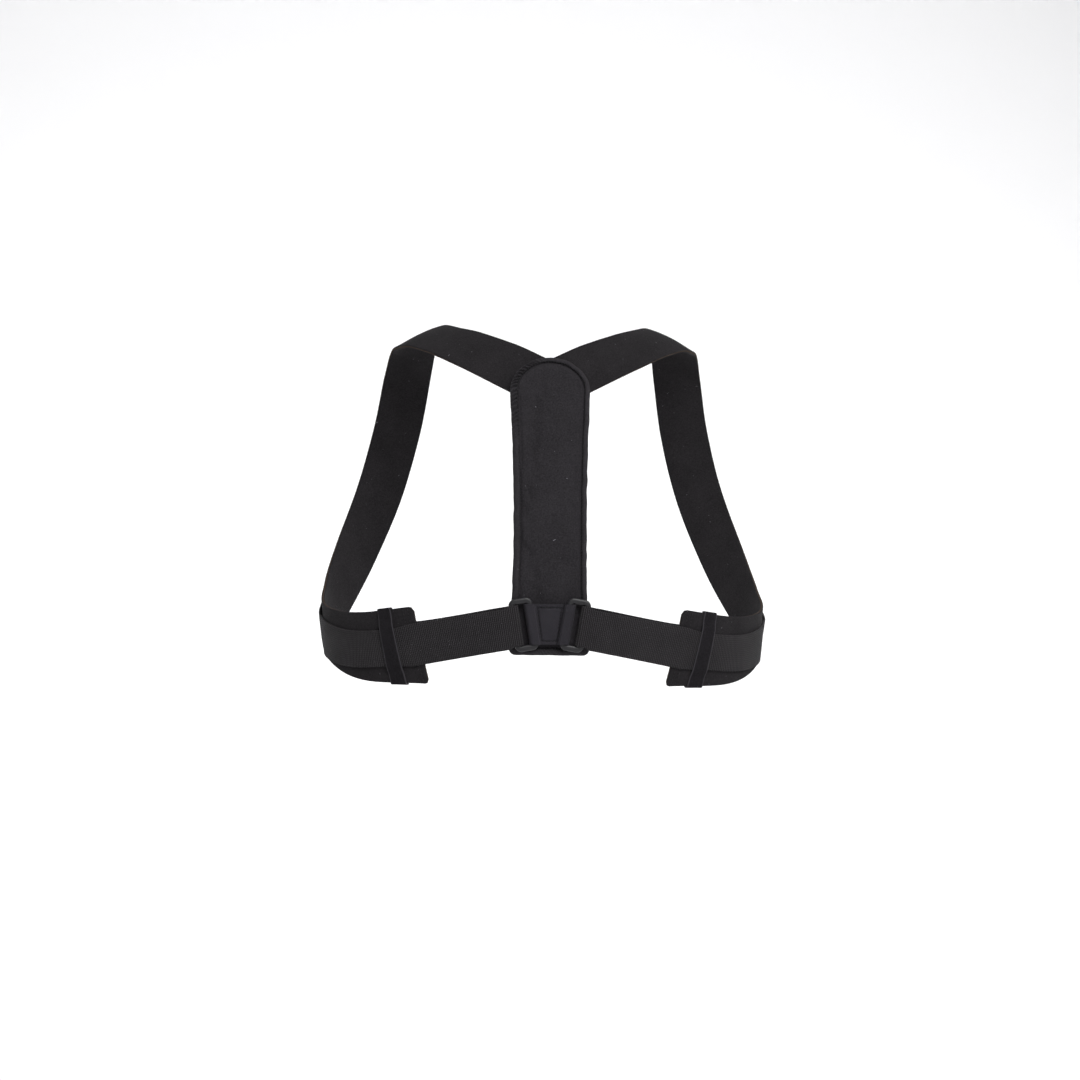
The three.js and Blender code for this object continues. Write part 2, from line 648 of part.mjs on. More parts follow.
// The keeper's path round the strap at a station: across the strap's inner face, round one edge, over the
// elastic and round the other edge. Each place is a distance across from the middle and one out from it.
function keeperPath(station) {
  const strapHalf = strapFrame(station).half;
  const bandHalf = elasticHalf(station);
  const gap = CLEARANCE + KEEPER_THICKNESS / 2;
  const face = STRAP_THICKNESS / 2;
  const rightHalf = [];
  for (let j = 0; j < STRAP_COLUMNS / 2; j++) {
    rightHalf.push([(strapHalf * 2 * j) / STRAP_COLUMNS, -face - gap]);
  }
  for (const [level, from] of [[-face, -PI / 2], [face, 0]]) {
    for (let j = 0; j <= KEEPER_TURN_STEPS; j++) {
      const angle = from + ((PI / 2) * j) / KEEPER_TURN_STEPS;
      rightHalf.push([strapHalf + gap * cos(angle), level + gap * sin(angle)]);
    }
  }
  rightHalf.push([(strapHalf + bandHalf + KEEPER_STEP) / 2, face + gap]);
  for (let j = 0; j <= ELASTIC_COLUMNS / 2; j++) {
    const aside = (bandHalf + KEEPER_STEP / 2) * (1 - (2 * j) / ELASTIC_COLUMNS);
    rightHalf.push([aside, ELASTIC_LEVEL + ELASTIC_THICKNESS / 2 + gap]);
  }
  const leftHalf = rightHalf.slice(1, -1).reverse().map(([aside, out]) => [-aside, out]);
  return [...rightHalf, ...leftHalf];
}

// A closed loop round the strap that holds the elastic down
function keeperGeometry() {
  const corners = [[1, 1], [-1, 1], [-1, -1], [1, -1]];
  const edges = new Map(
    [1, -1].map((end) => {
      const station = stationFromEnd(KEEPER_SETBACK + (end * KEEPER_WIDTH) / 2);
      return [end, { station, path: keeperPath(station) }];
    }),
  );
  const steps = edges.get(1).path.length;
  const points = [];
  for (let i = 0; i < steps; i++) {
    for (const [end, side] of corners) {
      const { station, path } = edges.get(end);
      const [before, after] = [path[(i + steps - 1) % steps], path[(i + 1) % steps]];
      const way = new THREE.Vector2(after[0] - before[0], after[1] - before[1]).normalize();
      const push = (side * KEEPER_THICKNESS) / 2;
      points.push(strapPoint(station, path[i][0] + way.y * push, path[i][1] - way.x * push));
    }
  }
  const starts = Array.from({ length: steps }, (unused, i) => i * corners.length);
  const triangles = [];
  joinRings(triangles, [...starts, starts[0]], corners.length);
  return toGeometry(points, triangles);
}

// Assembly
function mirrored(geometry, x, y, z) {
  const copy = geometry.clone();
  copy.scale(x, y, z);
  const count = copy.index ? copy.index.count : copy.getAttribute("position").count;
  const corners = Array.from({ length: count }, (unused, i) => (copy.index ? copy.index.getX(i) : i));
  for (let i = 0; i < count; i += 3) {
    [corners[i], corners[i + 1]] = [corners[i + 1], corners[i]];
  }
  copy.setIndex(corners);
  return copy;
}

function cloth(color, roughness) {
  return new THREE.MeshStandardMaterial({ color, roughness, metalness: 0 });
}

const padCloth = cloth("#2b2a2d", 0.95);
const tape = cloth("#262527", 0.85);
const laminate = cloth("#262425", 0.97);
const knit = cloth("#2c2d2d", 0.9);
const velour = cloth("#242225", 0.95);
const woven = cloth("#2d2a30", 0.8);
const hookTape = cloth("#1e1d1f", 0.7);
const moulded = new THREE.MeshStandardMaterial({ color: "#212124", roughness: 0.45, metalness: 0 });

function piece(name, geometry, material) {
  geometry.computeVertexNormals();
  const mesh = new THREE.Mesh(geometry, material);
  mesh.name = name;
  return mesh;
}

const group = new THREE.Group();
group.name = "posture_corrector";
group.add(piece("spine_pad", spinePadGeometry(), padCloth));
group.add(piece("pad_binding", padBindingGeometry(), tape));

const worn = [
  ["shoulder_strap", shoulderStrapGeometry(), laminate],
  ["elastic_strap", elasticGeometry(), knit],
  ["keeper_loop", keeperGeometry(), velour],
  ["hook_tab", hookTabGeometry(), hookTape],
];
for (const [name, geometry, material] of worn) {
  group.add(piece(`${name}_right`, geometry, material));
  group.add(piece(`${name}_left`, mirrored(geometry, -1, 1, 1), material));
}

ringSeat.name = "ring_seat";
group.add(ringSeat);
for (const [name, side] of [["ring_right", 1], ["ring_left", -1]]) {
  const ring = piece(name, ringGeometry(), moulded);
  ring.position.set(side * RING_OFFSET, -RING_OUT, 0);
  ring.rotation.y = side * RING_LEAN;
  ringSeat.add(ring);
}
ringSeat.add(piece("ring_webbing", ringWebbingGeometry(), woven));

export default group;
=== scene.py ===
# Posture corrector in the shape it takes when worn, seen from behind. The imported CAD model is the
# frame. Every piece below is built over its own CAD node, from the same sizes, in metres.
from bisect import bisect_right
from collections import namedtuple
from math import cos, floor, pi, radians, sin, tan

import bpy
from mathutils import Matrix, Vector, noise


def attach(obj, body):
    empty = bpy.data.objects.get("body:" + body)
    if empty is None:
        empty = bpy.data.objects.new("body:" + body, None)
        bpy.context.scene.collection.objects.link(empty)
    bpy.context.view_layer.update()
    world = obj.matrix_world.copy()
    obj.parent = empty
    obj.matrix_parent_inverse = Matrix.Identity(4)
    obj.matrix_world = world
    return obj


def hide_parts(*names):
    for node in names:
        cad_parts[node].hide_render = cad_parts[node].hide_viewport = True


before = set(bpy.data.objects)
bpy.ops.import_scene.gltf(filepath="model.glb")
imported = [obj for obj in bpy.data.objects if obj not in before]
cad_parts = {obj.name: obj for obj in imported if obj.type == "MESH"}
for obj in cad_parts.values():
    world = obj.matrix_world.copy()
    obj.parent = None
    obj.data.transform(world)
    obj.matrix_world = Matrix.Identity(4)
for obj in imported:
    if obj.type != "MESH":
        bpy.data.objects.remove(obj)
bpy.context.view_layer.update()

# Camera. It looks at the back of the brace from 2.6 m, level with its middle, a little from the
# wearer's left, and is rolled a touch, as the hand-held picture is.
VIEW_DISTANCE = 2.6
VIEW_AZIMUTH = radians(-2.8)
VIEW_ROLL = radians(0.75)
VIEW_WIDTH = 0.8683
VIEW_CENTRE = (-0.008, -0.007, -0.03)

back = Vector((sin(VIEW_AZIMUTH), -cos(VIEW_AZIMUTH), 0))
level = Vector((cos(VIEW_AZIMUTH), sin(VIEW_AZIMUTH), 0))
right = level * cos(VIEW_ROLL) + Vector((0, 0, sin(VIEW_ROLL)))
aim = level * VIEW_CENTRE[0] + Vector((0, VIEW_CENTRE[1], VIEW_CENTRE[2]))
place = aim + back * VIEW_DISTANCE
turned = Matrix((right, back.cross(right), back)).transposed().to_4x4()
bpy.ops.object.camera_add()
camera = bpy.context.object
camera.matrix_world = Matrix.Translation(place) @ turned
camera.data.lens = camera.data.sensor_width * VIEW_DISTANCE / VIEW_WIDTH
camera.data.clip_end = 30
bpy.context.scene.camera = camera

# Studio. A pale sweep runs from under the brace up behind it, under a dim white sky. One broad soft
# light hangs over the camera, a little to its right. A small one above draws the upper edges, and two
# more wash the sweep behind the brace.
FLOOR_LEVEL = -0.56
SWEEP_SIZE = 9
SWEEP_BEND = 1.6
SKY_STRENGTH = 0.16

bpy.ops.object.select_all(action="DESELECT")
bpy.ops.mesh.primitive_plane_add(size=SWEEP_SIZE, location=(0, -1, FLOOR_LEVEL))
sweep = bpy.context.object
sweep.name = sweep.data.name = "studio_sweep"
bpy.ops.object.mode_set(mode="EDIT")
bpy.ops.mesh.select_all(action="DESELECT")
bpy.ops.object.mode_set(mode="OBJECT")
for vertex in sweep.data.vertices:
    vertex.select = vertex.co.y > 0
bpy.ops.object.mode_set(mode="EDIT")
bpy.ops.mesh.extrude_region_move(TRANSFORM_OT_translate={"value": (0, 0, SWEEP_SIZE / 2)})
bpy.ops.object.mode_set(mode="OBJECT")
crease = sweep.modifiers.new("crease", "BEVEL")
crease.width = SWEEP_BEND
crease.segments = 24
bpy.ops.object.modifier_apply(modifier=crease.name)
bpy.ops.object.transform_apply(location=True, rotation=True, scale=True)
bpy.ops.object.shade_smooth()


def linear(hex_color):
    """The linear colour of a hex one, as the shader sockets take it."""
    parts = [int(hex_color[i : i + 2], 16) / 255 for i in (0, 2, 4)]
    return [c / 12.92 if c <= 0.04045 else ((c + 0.055) / 1.055) ** 2.4 for c in parts] + [1]


def node(tree, kind, inputs=None, **settings):
    """A node of a tree with its settings. An input is a number, a colour or the socket that feeds it."""
    made = tree.nodes.new(kind)
    for key, value in settings.items():
        setattr(made, key, value)
    for key, value in (inputs or {}).items():
        if isinstance(value, bpy.types.NodeSocket):
            tree.links.new(value, made.inputs[key])
        else:
            made.inputs[key].default_value = value
    return made


def new_finish(name, **plain):
    """A material with one Principled shader, whose plain sockets are set by their names."""
    finish = bpy.data.materials.new(name)
    finish.use_nodes = True
    shader = finish.node_tree.nodes["Principled BSDF"]
    for key, value in plain.items():
        shader.inputs[key.replace("_", " ")].default_value = value
    return finish, finish.node_tree, shader


paper, tree, shader = new_finish("studio_paper", Roughness=0.9)
shader.inputs["Base Color"].default_value = linear("f4f4f5")
sweep.data.materials.append(paper)

world = bpy.data.worlds.new("studio_sky")
bpy.context.scene.world = world
world.use_nodes = True
world.node_tree.nodes["Background"].inputs["Color"].default_value = (1, 1, 1, 1)
world.node_tree.nodes["Background"].inputs["Strength"].default_value = SKY_STRENGTH
bpy.context.scene.view_settings.view_transform = "Standard"

# place and aim are in metres, size is a side of the square lamp in metres.
SOFT_LIGHTS = [
    {"name": "key", "place": (0.9, -2.6, 1.9), "aim": (0, 0.05, 0), "size": 2, "watts": 77},
    {"name": "above", "place": (0.3, -0.7, 1.9), "aim": (0, 0, 0), "size": 0.5, "watts": 4.5},
    {"name": "wall_left", "place": (-1.9, 0.9, 1.3), "aim": (-0.3, 2.2, -0.5), "size": 1.2, "watts": 27},
    {"name": "wall_right", "place": (1.9, 0.9, 1.3), "aim": (0.3, 2.2, -0.5), "size": 1.2, "watts": 27},
]
WALL_SPREAD = radians(110)
for soft in SOFT_LIGHTS:
    bpy.ops.object.light_add(type="AREA", location=soft["place"])
    light = bpy.context.object
    light.name = light.data.name = f"light_{soft['name']}"
    light.data.size = soft["size"]
    light.data.energy = soft["watts"]
    light.data.spread = WALL_SPREAD if "wall" in soft["name"] else pi
    toward = Vector(soft["aim"]) - Vector(soft["place"])
    light.rotation_mode = "QUATERNION"
    light.rotation_quaternion = toward.to_track_quat("-Z", "Y")

# Spine pad. A foam panel 7 mm thick in a brushed black fabric, bent to the back with its head leaning
# in to the nape. Its edge is pressed thin for the binding, and between seams the foam fills out.
PAD_LENGTH = 0.246
PAD_HEAD_WIDTH = 0.066
PAD_WAIST_WIDTH = 0.0595
PAD_FOOT_WIDTH = 0.066
PAD_WAIST_HEIGHT = 0.098
PAD_HEAD_ROUND = 0.03
PAD_CORNER = 0.005
PAD_THICKNESS = 0.007
PAD_EDGE_THICKNESS = 0.0036
PAD_BEND_RADIUS = 0.474
PAD_LEAN = radians(10)
BINDING_WIDTH = 0.006
CLEARANCE = 0.0003


def pad_tilt(up):
    """How far the pad leans from upright at a height along it."""
    return PAD_LEAN + (up - PAD_LENGTH / 2) / PAD_BEND_RADIUS


def pad_point(across, up, out):
    """A place from the pad's own coordinates: across it, up its length, and out from its inner face."""
    reach = PAD_BEND_RADIUS + out
    y = PAD_BEND_RADIUS * cos(PAD_LEAN) - reach * cos(pad_tilt(up))
    z = reach * sin(pad_tilt(up)) - PAD_BEND_RADIUS * sin(PAD_LEAN)
    return Vector((across, y, z))


def pad_half_width(up):
    """Half the pad's width, which narrows to a waist between its head and its foot."""
    if up < PAD_WAIST_HEIGHT:
        share = (PAD_WAIST_HEIGHT - up) / PAD_WAIST_HEIGHT
        end = PAD_FOOT_WIDTH
    else:
        share = (up - PAD_WAIST_HEIGHT) / (PAD_LENGTH - PAD_HEAD_ROUND - PAD_WAIST_HEIGHT)
        end = PAD_HEAD_WIDTH
    return (PAD_WAIST_WIDTH + (end - PAD_WAIST_WIDTH) * share * share) / 2


def pad_side(inset):
    """The right side of the pad's outline, from the middle of its foot to its apex, set in."""
    corner = PAD_CORNER * (1 - inset / (2 * BINDING_WIDTH))
    low = inset + corner
    side = []
    for i in range(10):
        side.append(((pad_half_width(low) - low) * i / 10, inset))
    for i in range(12):
        angle = pi / 2 * i / 12
        across = pad_half_width(low) - inset - corner * (1 - sin(angle))
        side.append((across, low - corner * cos(angle)))
    head = PAD_LENGTH - PAD_HEAD_ROUND
    for i in range(80):
        up = low + (head - low) * i / 80
        side.append((pad_half_width(up) - inset, up))
    for i in range(41):
        angle = pi / 2 * i / 40
        across = (PAD_HEAD_WIDTH / 2 - inset) * cos(angle)
        side.append((across, head + (PAD_HEAD_ROUND - inset) * sin(angle)))
    return side


def pad_loop(inset):
    """The whole outline at an inset."""
    side = pad_side(inset)
    return [*side, *[(-across, up) for across, up in reversed(side[1:-1])], side[0]]


class EvenLine:
    """A line of places that is walked by its share of the whole length."""

    def __init__(self, places):
        self.places = [Vector(place) for place in places]
        self.run = [0]
        for before, after in zip(self.places, self.places[1:]):
            self.run.append(self.run[-1] + (after - before).length)
        self.length = self.run[-1]

    def step(self, share):
        """The place before a share of the length, and how far the next one is on from it."""
        goal = min(max(share, 0), 1) * self.length
        low = min(bisect_right(self.run, goal), len(self.run) - 1) - 1
        return low, (goal - self.run[low]) / (self.run[low + 1] - self.run[low])

    def at(self, share):
        low, part = self.step(share)
        return self.places[low].lerp(self.places[low + 1], part)


pad_outline = EvenLine(pad_loop(0))
pad_inner_line = [Vector(place) for place in pad_loop(BINDING_WIDTH)]


def inset_point(share, inset):
    """A place in the pad's own plane, at a share of the way round it and inset from its edge."""
    low, part = pad_outline.step(share)
    edge = pad_outline.places[low].lerp(pad_outline.places[low + 1], part)
    inner = pad_inner_line[low].lerp(pad_inner_line[low + 1], part)
    return edge.lerp(inner, inset / BINDING_WIDTH)


def eased(share):
    """A share from 0 to 1 that starts and ends gently."""
    share = min(max(share, 0), 1)
    return share * share * (3 - 2 * share)


def cloth_strip(name, steps_along, steps_across, length, width, place):
    """A flat grid of cloth of a real length and width, laid point by point where the strip lies."""
    bpy.ops.object.select_all(action="DESELECT")
    bpy.ops.mesh.primitive_grid_add(x_subdivisions=steps_along, y_subdivisions=steps_across, size=1)
    strip = bpy.context.object
    strip.name = strip.data.name = name
    for vertex in strip.data.vertices:
        vertex.co = place(vertex.co.x + 0.5, vertex.co.y + 0.5)
    for corner in strip.data.uv_layers[0].data:
        corner.uv = (corner.uv.x * length, corner.uv.y * width)
    return strip


def select_only(piece):
    """Makes a piece the only one selected, and the active one."""
    bpy.ops.object.select_all(action="DESELECT")
    piece.select_set(True)
    bpy.context.view_layer.objects.active = piece


def apply_modifier(piece, kind, **settings):
    """Adds one modifier to a piece and applies it."""
    select_only(piece)
    modifier = piece.modifiers.new(kind.lower(), kind)
    for key, value in settings.items():
        setattr(modifier, key, value)
    bpy.ops.object.modifier_apply(modifier=modifier.name)


def edit_all(piece, operator, **settings):
    """Runs one edit mode operator over the whole of a piece."""
    select_only(piece)
    bpy.ops.object.mode_set(mode="EDIT")
    bpy.ops.mesh.select_all(action="SELECT")
    operator(**settings)
    bpy.ops.object.mode_set(mode="OBJECT")


SAME_PLACE = 0.00002


def close_strip(piece):
    """Joins a strip's edges where they meet, and turns every face outward."""
    edit_all(piece, bpy.ops.mesh.remove_doubles, threshold=SAME_PLACE)
    edit_all(piece, bpy.ops.mesh.normals_make_consistent, inside=False)


def smooth(piece):
    """Smooth shading over a whole piece."""
    piece.data.polygons.foreach_set("use_smooth", [True] * len(piece.data.polygons))


PAD_STEPS_ROUND = 264
PAD_STEPS_IN = 40
PAD_SKIN_INSET = 0.0012
PAD_SPINE_FOOT = 0.034
PAD_SPINE_HEAD = PAD_LENGTH - 0.036
PAD_SHOULDER = 0.0024
PAD_EDGE_BAND = 0.04
TAPE_NARROWING = 0.22
RIGHT_FROM = 0.04
RIGHT_TO = 0.56
GROOVE_FROM = 0.0053
GROOVE_EASE = 0.001
GROOVE_DEPTH = 0.0005


def pad_height(inset, groove):
    """Half the foam's thickness at an inset from the edge. The seam pulls a groove beside the tape."""
    pressed = PAD_EDGE_THICKNESS / 2
    full = PAD_THICKNESS / 2 - CLEARANCE
    rise = min(max((inset - GROOVE_FROM - groove) / PAD_SHOULDER, 0), 1)
    pulled = GROOVE_DEPTH * eased((inset - GROOVE_FROM) / GROOVE_EASE + 1) * (1 - rise)
    return pressed - pulled + (full - pressed) * (1 - (1 - rise) ** 2.4)


def right_share(u):
    """1 up the pad's right side and over its head, and 0 down its left side."""
    return eased((RIGHT_TO - u) / 0.06) * eased((u - RIGHT_FROM) / 0.03)


def tape_share(u):
    """How much of its full width the tape lies on the pad's face with: less at the right."""
    return 1 - TAPE_NARROWING * right_share(u)


def seam_groove(u):
    """How wide the seam's groove is: wider down the pad's right side than its left."""
    return 0.0012 + 0.0005 * right_share(u)


def pad_place(u, v):
    """The panel's skin, from the middle of its face out to the edge and back to the middle behind."""
    way = 2 * v - 1
    inward = 1 - (1 - abs(way) ** 2.2) ** 0.8
    edge = inset_point(u, PAD_SKIN_INSET)
    spine = Vector((0, min(max(edge.y, PAD_SPINE_FOOT), PAD_SPINE_HEAD)))
    spot = edge.lerp(spine, inward)
    inset = PAD_SKIN_INSET + inward * (spine - edge).length + GROOVE_FROM * (1 - tape_share(u))
    height = 0 if abs(way) < PAD_EDGE_BAND else pad_height(inset, seam_groove(u))
    return Vector((spot.x, -PAD_THICKNESS / 2 - (height if way > 0 else -height), spot.y))


spine_pad = cloth_strip(
    "foam_spine_pad", PAD_STEPS_ROUND, 2 * PAD_STEPS_IN, pad_outline.length, 0.06, pad_place
)
close_strip(spine_pad)

PAD_PRESSURE = 3
PAD_FABRIC_SPARE = 0.02
PAD_MOST_SWELL = 0.0011
held = spine_pad.vertex_groups.new(name="sewn_edge")
for vertex in spine_pad.data.vertices:
    if abs(vertex.co.y + PAD_THICKNESS / 2) < PAD_EDGE_THICKNESS / 2 + 0.0002:
        held.add([vertex.index], 1, "REPLACE")
before = [vertex.co.copy() for vertex in spine_pad.data.vertices]
fill = spine_pad.modifiers.new("fill", "CLOTH")
fill.settings.vertex_group_mass = held.name
fill.settings.use_pressure = True
fill.settings.uniform_pressure_force = PAD_PRESSURE
fill.settings.shrink_min = -PAD_FABRIC_SPARE
fill.settings.effector_weights.gravity = 0
fill.settings.tension_stiffness = 15
fill.settings.bending_stiffness = 0.5
for step in range(1, 21):
    bpy.context.scene.frame_set(step)
select_only(spine_pad)
bpy.ops.object.modifier_apply(modifier=fill.name)
bpy.context.scene.frame_set(1)
for vertex, start in zip(spine_pad.data.vertices, before):
    moved = vertex.co - start
    if moved.length > PAD_MOST_SWELL:
        vertex.co = start + moved * (PAD_MOST_SWELL / moved.length)

# The rings and their webbing press the face flat where they lie on it, and it is bent to the back.
RING_HEIGHT = 0.025
SEAT_REACH = 0.019
SEAT_EASE = 0.012
SEAT_DENT = 0.0004
PAD_INNER_FACE = 0.0002
PAD_FREE_SWELL = 0.0015
for vertex in spine_pad.data.vertices:
    up = vertex.co.z
    free = eased((abs(up - RING_HEIGHT) - SEAT_REACH) / SEAT_EASE)
    most = PAD_THICKNESS - SEAT_DENT + (SEAT_DENT + PAD_FREE_SWELL) * free
    vertex.co = pad_point(vertex.co.x, up, min(max(-vertex.co.y, PAD_INNER_FACE), most))
apply_modifier(spine_pad, "SUBSURF", levels=1, render_levels=1)
smooth(spine_pad)


def new_group(name, inputs, outputs):
    """An empty shader node group with its sockets, and the nodes that stand for its two ends."""
    group = bpy.data.node_groups.new(name, "ShaderNodeTree")
    for socket, kind, value in inputs:
        made = group.interface.new_socket(socket, in_out="INPUT", socket_type=kind)
        if value is not None:
            made.default_value = value
    for socket, kind in outputs:
        group.interface.new_socket(socket, in_out="OUTPUT", socket_type=kind)
    return group, group.nodes.new("NodeGroupInput"), group.nodes.new("NodeGroupOutput")


def math(tree, operation, first, second=0.0, third=0.0, clamp=False):
    """A Math node's value."""
    made = node(tree, "ShaderNodeMath", operation=operation, use_clamp=clamp)
    for i, value in enumerate((first, second, third)):
        if isinstance(value, bpy.types.NodeSocket):
            tree.links.new(value, made.inputs[i])
        else:
            made.inputs[i].default_value = value
    return made.outputs[0]


# Brushed cloth: short fibres, broad soft patches of shade, and sparse specks of lint.
brushed_cloth, start, end = new_group(
    "brushed_cloth",
    [
        ("Vector", "NodeSocketVector", None),
        ("Fibre Scale", "NodeSocketFloat", 1800),
        ("Patch Scale", "NodeSocketFloat", 45),
        ("Lint Scale", "NodeSocketFloat", 210),
        ("Lint Share", "NodeSocketFloat", 0.3),
    ],
    [("Shade", "NodeSocketFloat"), ("Lint", "NodeSocketFloat"), ("Height", "NodeSocketFloat")],
)
tree = brushed_cloth
vector = start.outputs["Vector"]
fibre = node(
    tree,
    "ShaderNodeTexNoise",
    {"Vector": vector, "Scale": start.outputs["Fibre Scale"], "Detail": 3, "Roughness": 0.65},
)
patch = node(
    tree,
    "ShaderNodeTexNoise",
    {"Vector": vector, "Scale": start.outputs["Patch Scale"], "Detail": 4, "Roughness": 0.6},
)
curl = node(tree, "ShaderNodeTexNoise", {"Vector": vector, "Scale": 420, "Detail": 1})
curled = node(
    tree,
    "ShaderNodeVectorMath",
    {0: curl.outputs["Color"], 1: (0.0045, 0.0045, 0.0045), 2: vector},
    operation="MULTIPLY_ADD",
)
speck = node(
    tree,
    "ShaderNodeTexVoronoi",
    {"Vector": curled.outputs[0], "Scale": start.outputs["Lint Scale"]},
)
chance = node(tree, "ShaderNodeSeparateColor", {"Color": speck.outputs["Color"]})
chosen = math(tree, "LESS_THAN", chance.outputs[0], start.outputs["Lint Share"])
size = math(tree, "MULTIPLY_ADD", chance.outputs[1], 0.05, 0.035)
dot = math(tree, "LESS_THAN", speck.outputs["Distance"], size)
lint = math(tree, "MULTIPLY", dot, chosen)
shade = math(tree, "MULTIPLY_ADD", patch.outputs[0], 0.7, -0.35)
grain = math(tree, "MULTIPLY_ADD", fibre.outputs[0], 1.6, -0.8)
shade = math(tree, "ADD", shade, grain)
tree.links.new(math(tree, "ADD", shade, 1.0), end.inputs["Shade"])
tree.links.new(lint, end.inputs["Lint"])
tree.links.new(fibre.outputs[0], end.inputs["Height"])


def brushed_finish(name, color, lint_color, bump, painted_edge_highlight=None, **inputs):
    """Brushed black cloth: its colour varies by the group's shade, and its nap is a shallow bump.

    The edge highlight is the band's width, the width of its two edge lines, and their colour: lighter
    lines along both edges, a painted highlight."""
    finish, tree, shader = new_finish(
        name, Roughness=0.9, Specular_IOR_Level=0.12, Sheen_Weight=0.03, Sheen_Roughness=0.5
    )
    where = node(tree, "ShaderNodeTexCoord")
    cloth = node(tree, "ShaderNodeGroup", node_tree=brushed_cloth)
    tree.links.new(where.outputs["Object"], cloth.inputs["Vector"])
    for key, value in inputs.items():
        cloth.inputs[key.replace("_", " ")].default_value = value
    tone = node(
        tree,
        "ShaderNodeVectorMath",
        {0: linear(color)[:3], "Scale": cloth.outputs["Shade"]},
        operation="SCALE",
    )
    mixed = node(tree, "ShaderNodeMix", data_type="RGBA")
    tree.links.new(cloth.outputs["Lint"], mixed.inputs["Factor"])
    tree.links.new(tone.outputs[0], mixed.inputs[6])
    mixed.inputs[7].default_value = linear(lint_color)
    colored = mixed.outputs[2]
    # Lighter lines along both edges of the band: a painted highlight where the turned edges catch the
    # light.
    if painted_edge_highlight:
        width, line, highlight_color = painted_edge_highlight
        across = node(tree, "ShaderNodeSeparateXYZ", {0: where.outputs["UV"]}).outputs[1]
        from_middle = math(tree, "ABSOLUTE", math(tree, "SUBTRACT", across, width / 2))
        inward = math(tree, "SUBTRACT", width / 2, from_middle)
        on_line = math(tree, "MULTIPLY_ADD", inward, -2 / line, 2.0, clamp=True)
        edged = node(tree, "ShaderNodeMix", {"Factor": on_line, 6: colored}, data_type="RGBA")
        edged.inputs[7].default_value = linear(highlight_color)
        colored = edged.outputs[2]
    tree.links.new(colored, shader.inputs["Base Color"])
    raised = node(
        tree,
        "ShaderNodeBump",
        {"Height": cloth.outputs["Height"], "Strength": bump, "Distance": 0.0004},
    )
    tree.links.new(raised.outputs[0], shader.inputs["Normal"])
    return finish


pad_cloth = brushed_finish(
    "pad_cloth", "2f2d30", "77767c", 0.5, Fibre_Scale=900, Patch_Scale=30, Lint_Share=0.2
)
spine_pad.data.materials.append(pad_cloth)
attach(spine_pad, "root")
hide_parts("spine_pad")

# Pad binding. One length of stretch tape folded over the pad's edge all the way round. It rolls
# over, gathers a little round the head, and one row of stitches holds both its lips down.
BINDING_THICKNESS = 0.0008
BINDING_STEPS = 1120
BINDING_ACROSS = 24
BINDING_WANDER = 0.0005
GATHERS = 165
GATHERS_FROM = 0.5
GATHERS_TO = 0.68
GATHER_SLANT = 0.8
HEAD_GATHER = 0.0016
FOOT_GATHER = 0.0006
LOOSE_GATHER = 0.00028
# The tape's section as insets from the pad's edge and heights over the pad's middle plane, from the
# lip on the face to the lip behind.
BINDING_SECTION = EvenLine(
    [
        (0.0056, 0.0017),
        (0.0056, 0.0024),
        (0.0051, 0.0031),
        (0.0042, 0.00345),
        (0.0030, 0.0035),
        (0.0017, 0.0030),
        (0.0006, 0.0019),
        (0.0002, 0),
        (0.0006, -0.0018),
        (0.0018, -0.0028),
        (0.0034, -0.0029),
        (0.0050, -0.0028),
        (0.0057, -0.0024),
        (0.0058, -0.0018),
    ]
)


def round_noise(u, pitch, row):
    """Noise with a pitch along the pad's edge that closes on itself all the way round."""
    reach = pad_outline.length / pitch / (2 * pi)
    return noise.noise(Vector((reach * cos(2 * pi * u), reach * sin(2 * pi * u), row)))


def gather(u, inset):
    """How far the tape stands up in gathers at a share of the way round: most at the head's left."""
    gathered = eased((u - GATHERS_FROM) / 0.04) * eased((GATHERS_TO - u) / 0.08)
    slanted = u + inset * GATHER_SLANT / pad_outline.length
    sway = round_noise(slanted, 0.011, 1.7)
    fold = sin(2 * pi * (slanted * GATHERS + sway))
    loose = round_noise(slanted, 0.0042, 6.2)
    foot = 1 - eased(min(u, 1 - u) / 0.05)
    return (HEAD_GATHER * gathered + FOOT_GATHER * foot) * fold + LOOSE_GATHER * loose


def binding_place(u, v):
    """A point of the tape: round the pad by u, and over its edge from face to back by v."""
    spot = BINDING_SECTION.at(v)
    lift = gather(u, spot.x) * sin(pi * min(2 * v + 0.15, 1)) if v < 0.5 else 0
    inset = spot.x * tape_share(u % 1) + BINDING_WANDER * round_noise(u, 0.009, 9.1)
    place = inset_point(u % 1, inset)
    return pad_point(place.x, place.y, PAD_THICKNESS / 2 + spot.y + lift)


binding = cloth_strip(
    "binding_tape",
    BINDING_STEPS,
    BINDING_ACROSS,
    pad_outline.length,
    BINDING_SECTION.length,
    binding_place,
)
close_strip(binding)
apply_modifier(binding, "SOLIDIFY", thickness=BINDING_THICKNESS, offset=-1)
smooth(binding)
binding_cloth = brushed_finish(
    "binding_cloth", "333134", "58575c", 0.35, Fibre_Scale=1200, Patch_Scale=70, Lint_Share=0.08
)
binding.data.materials.append(binding_cloth)
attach(binding, "root")
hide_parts("pad_binding")


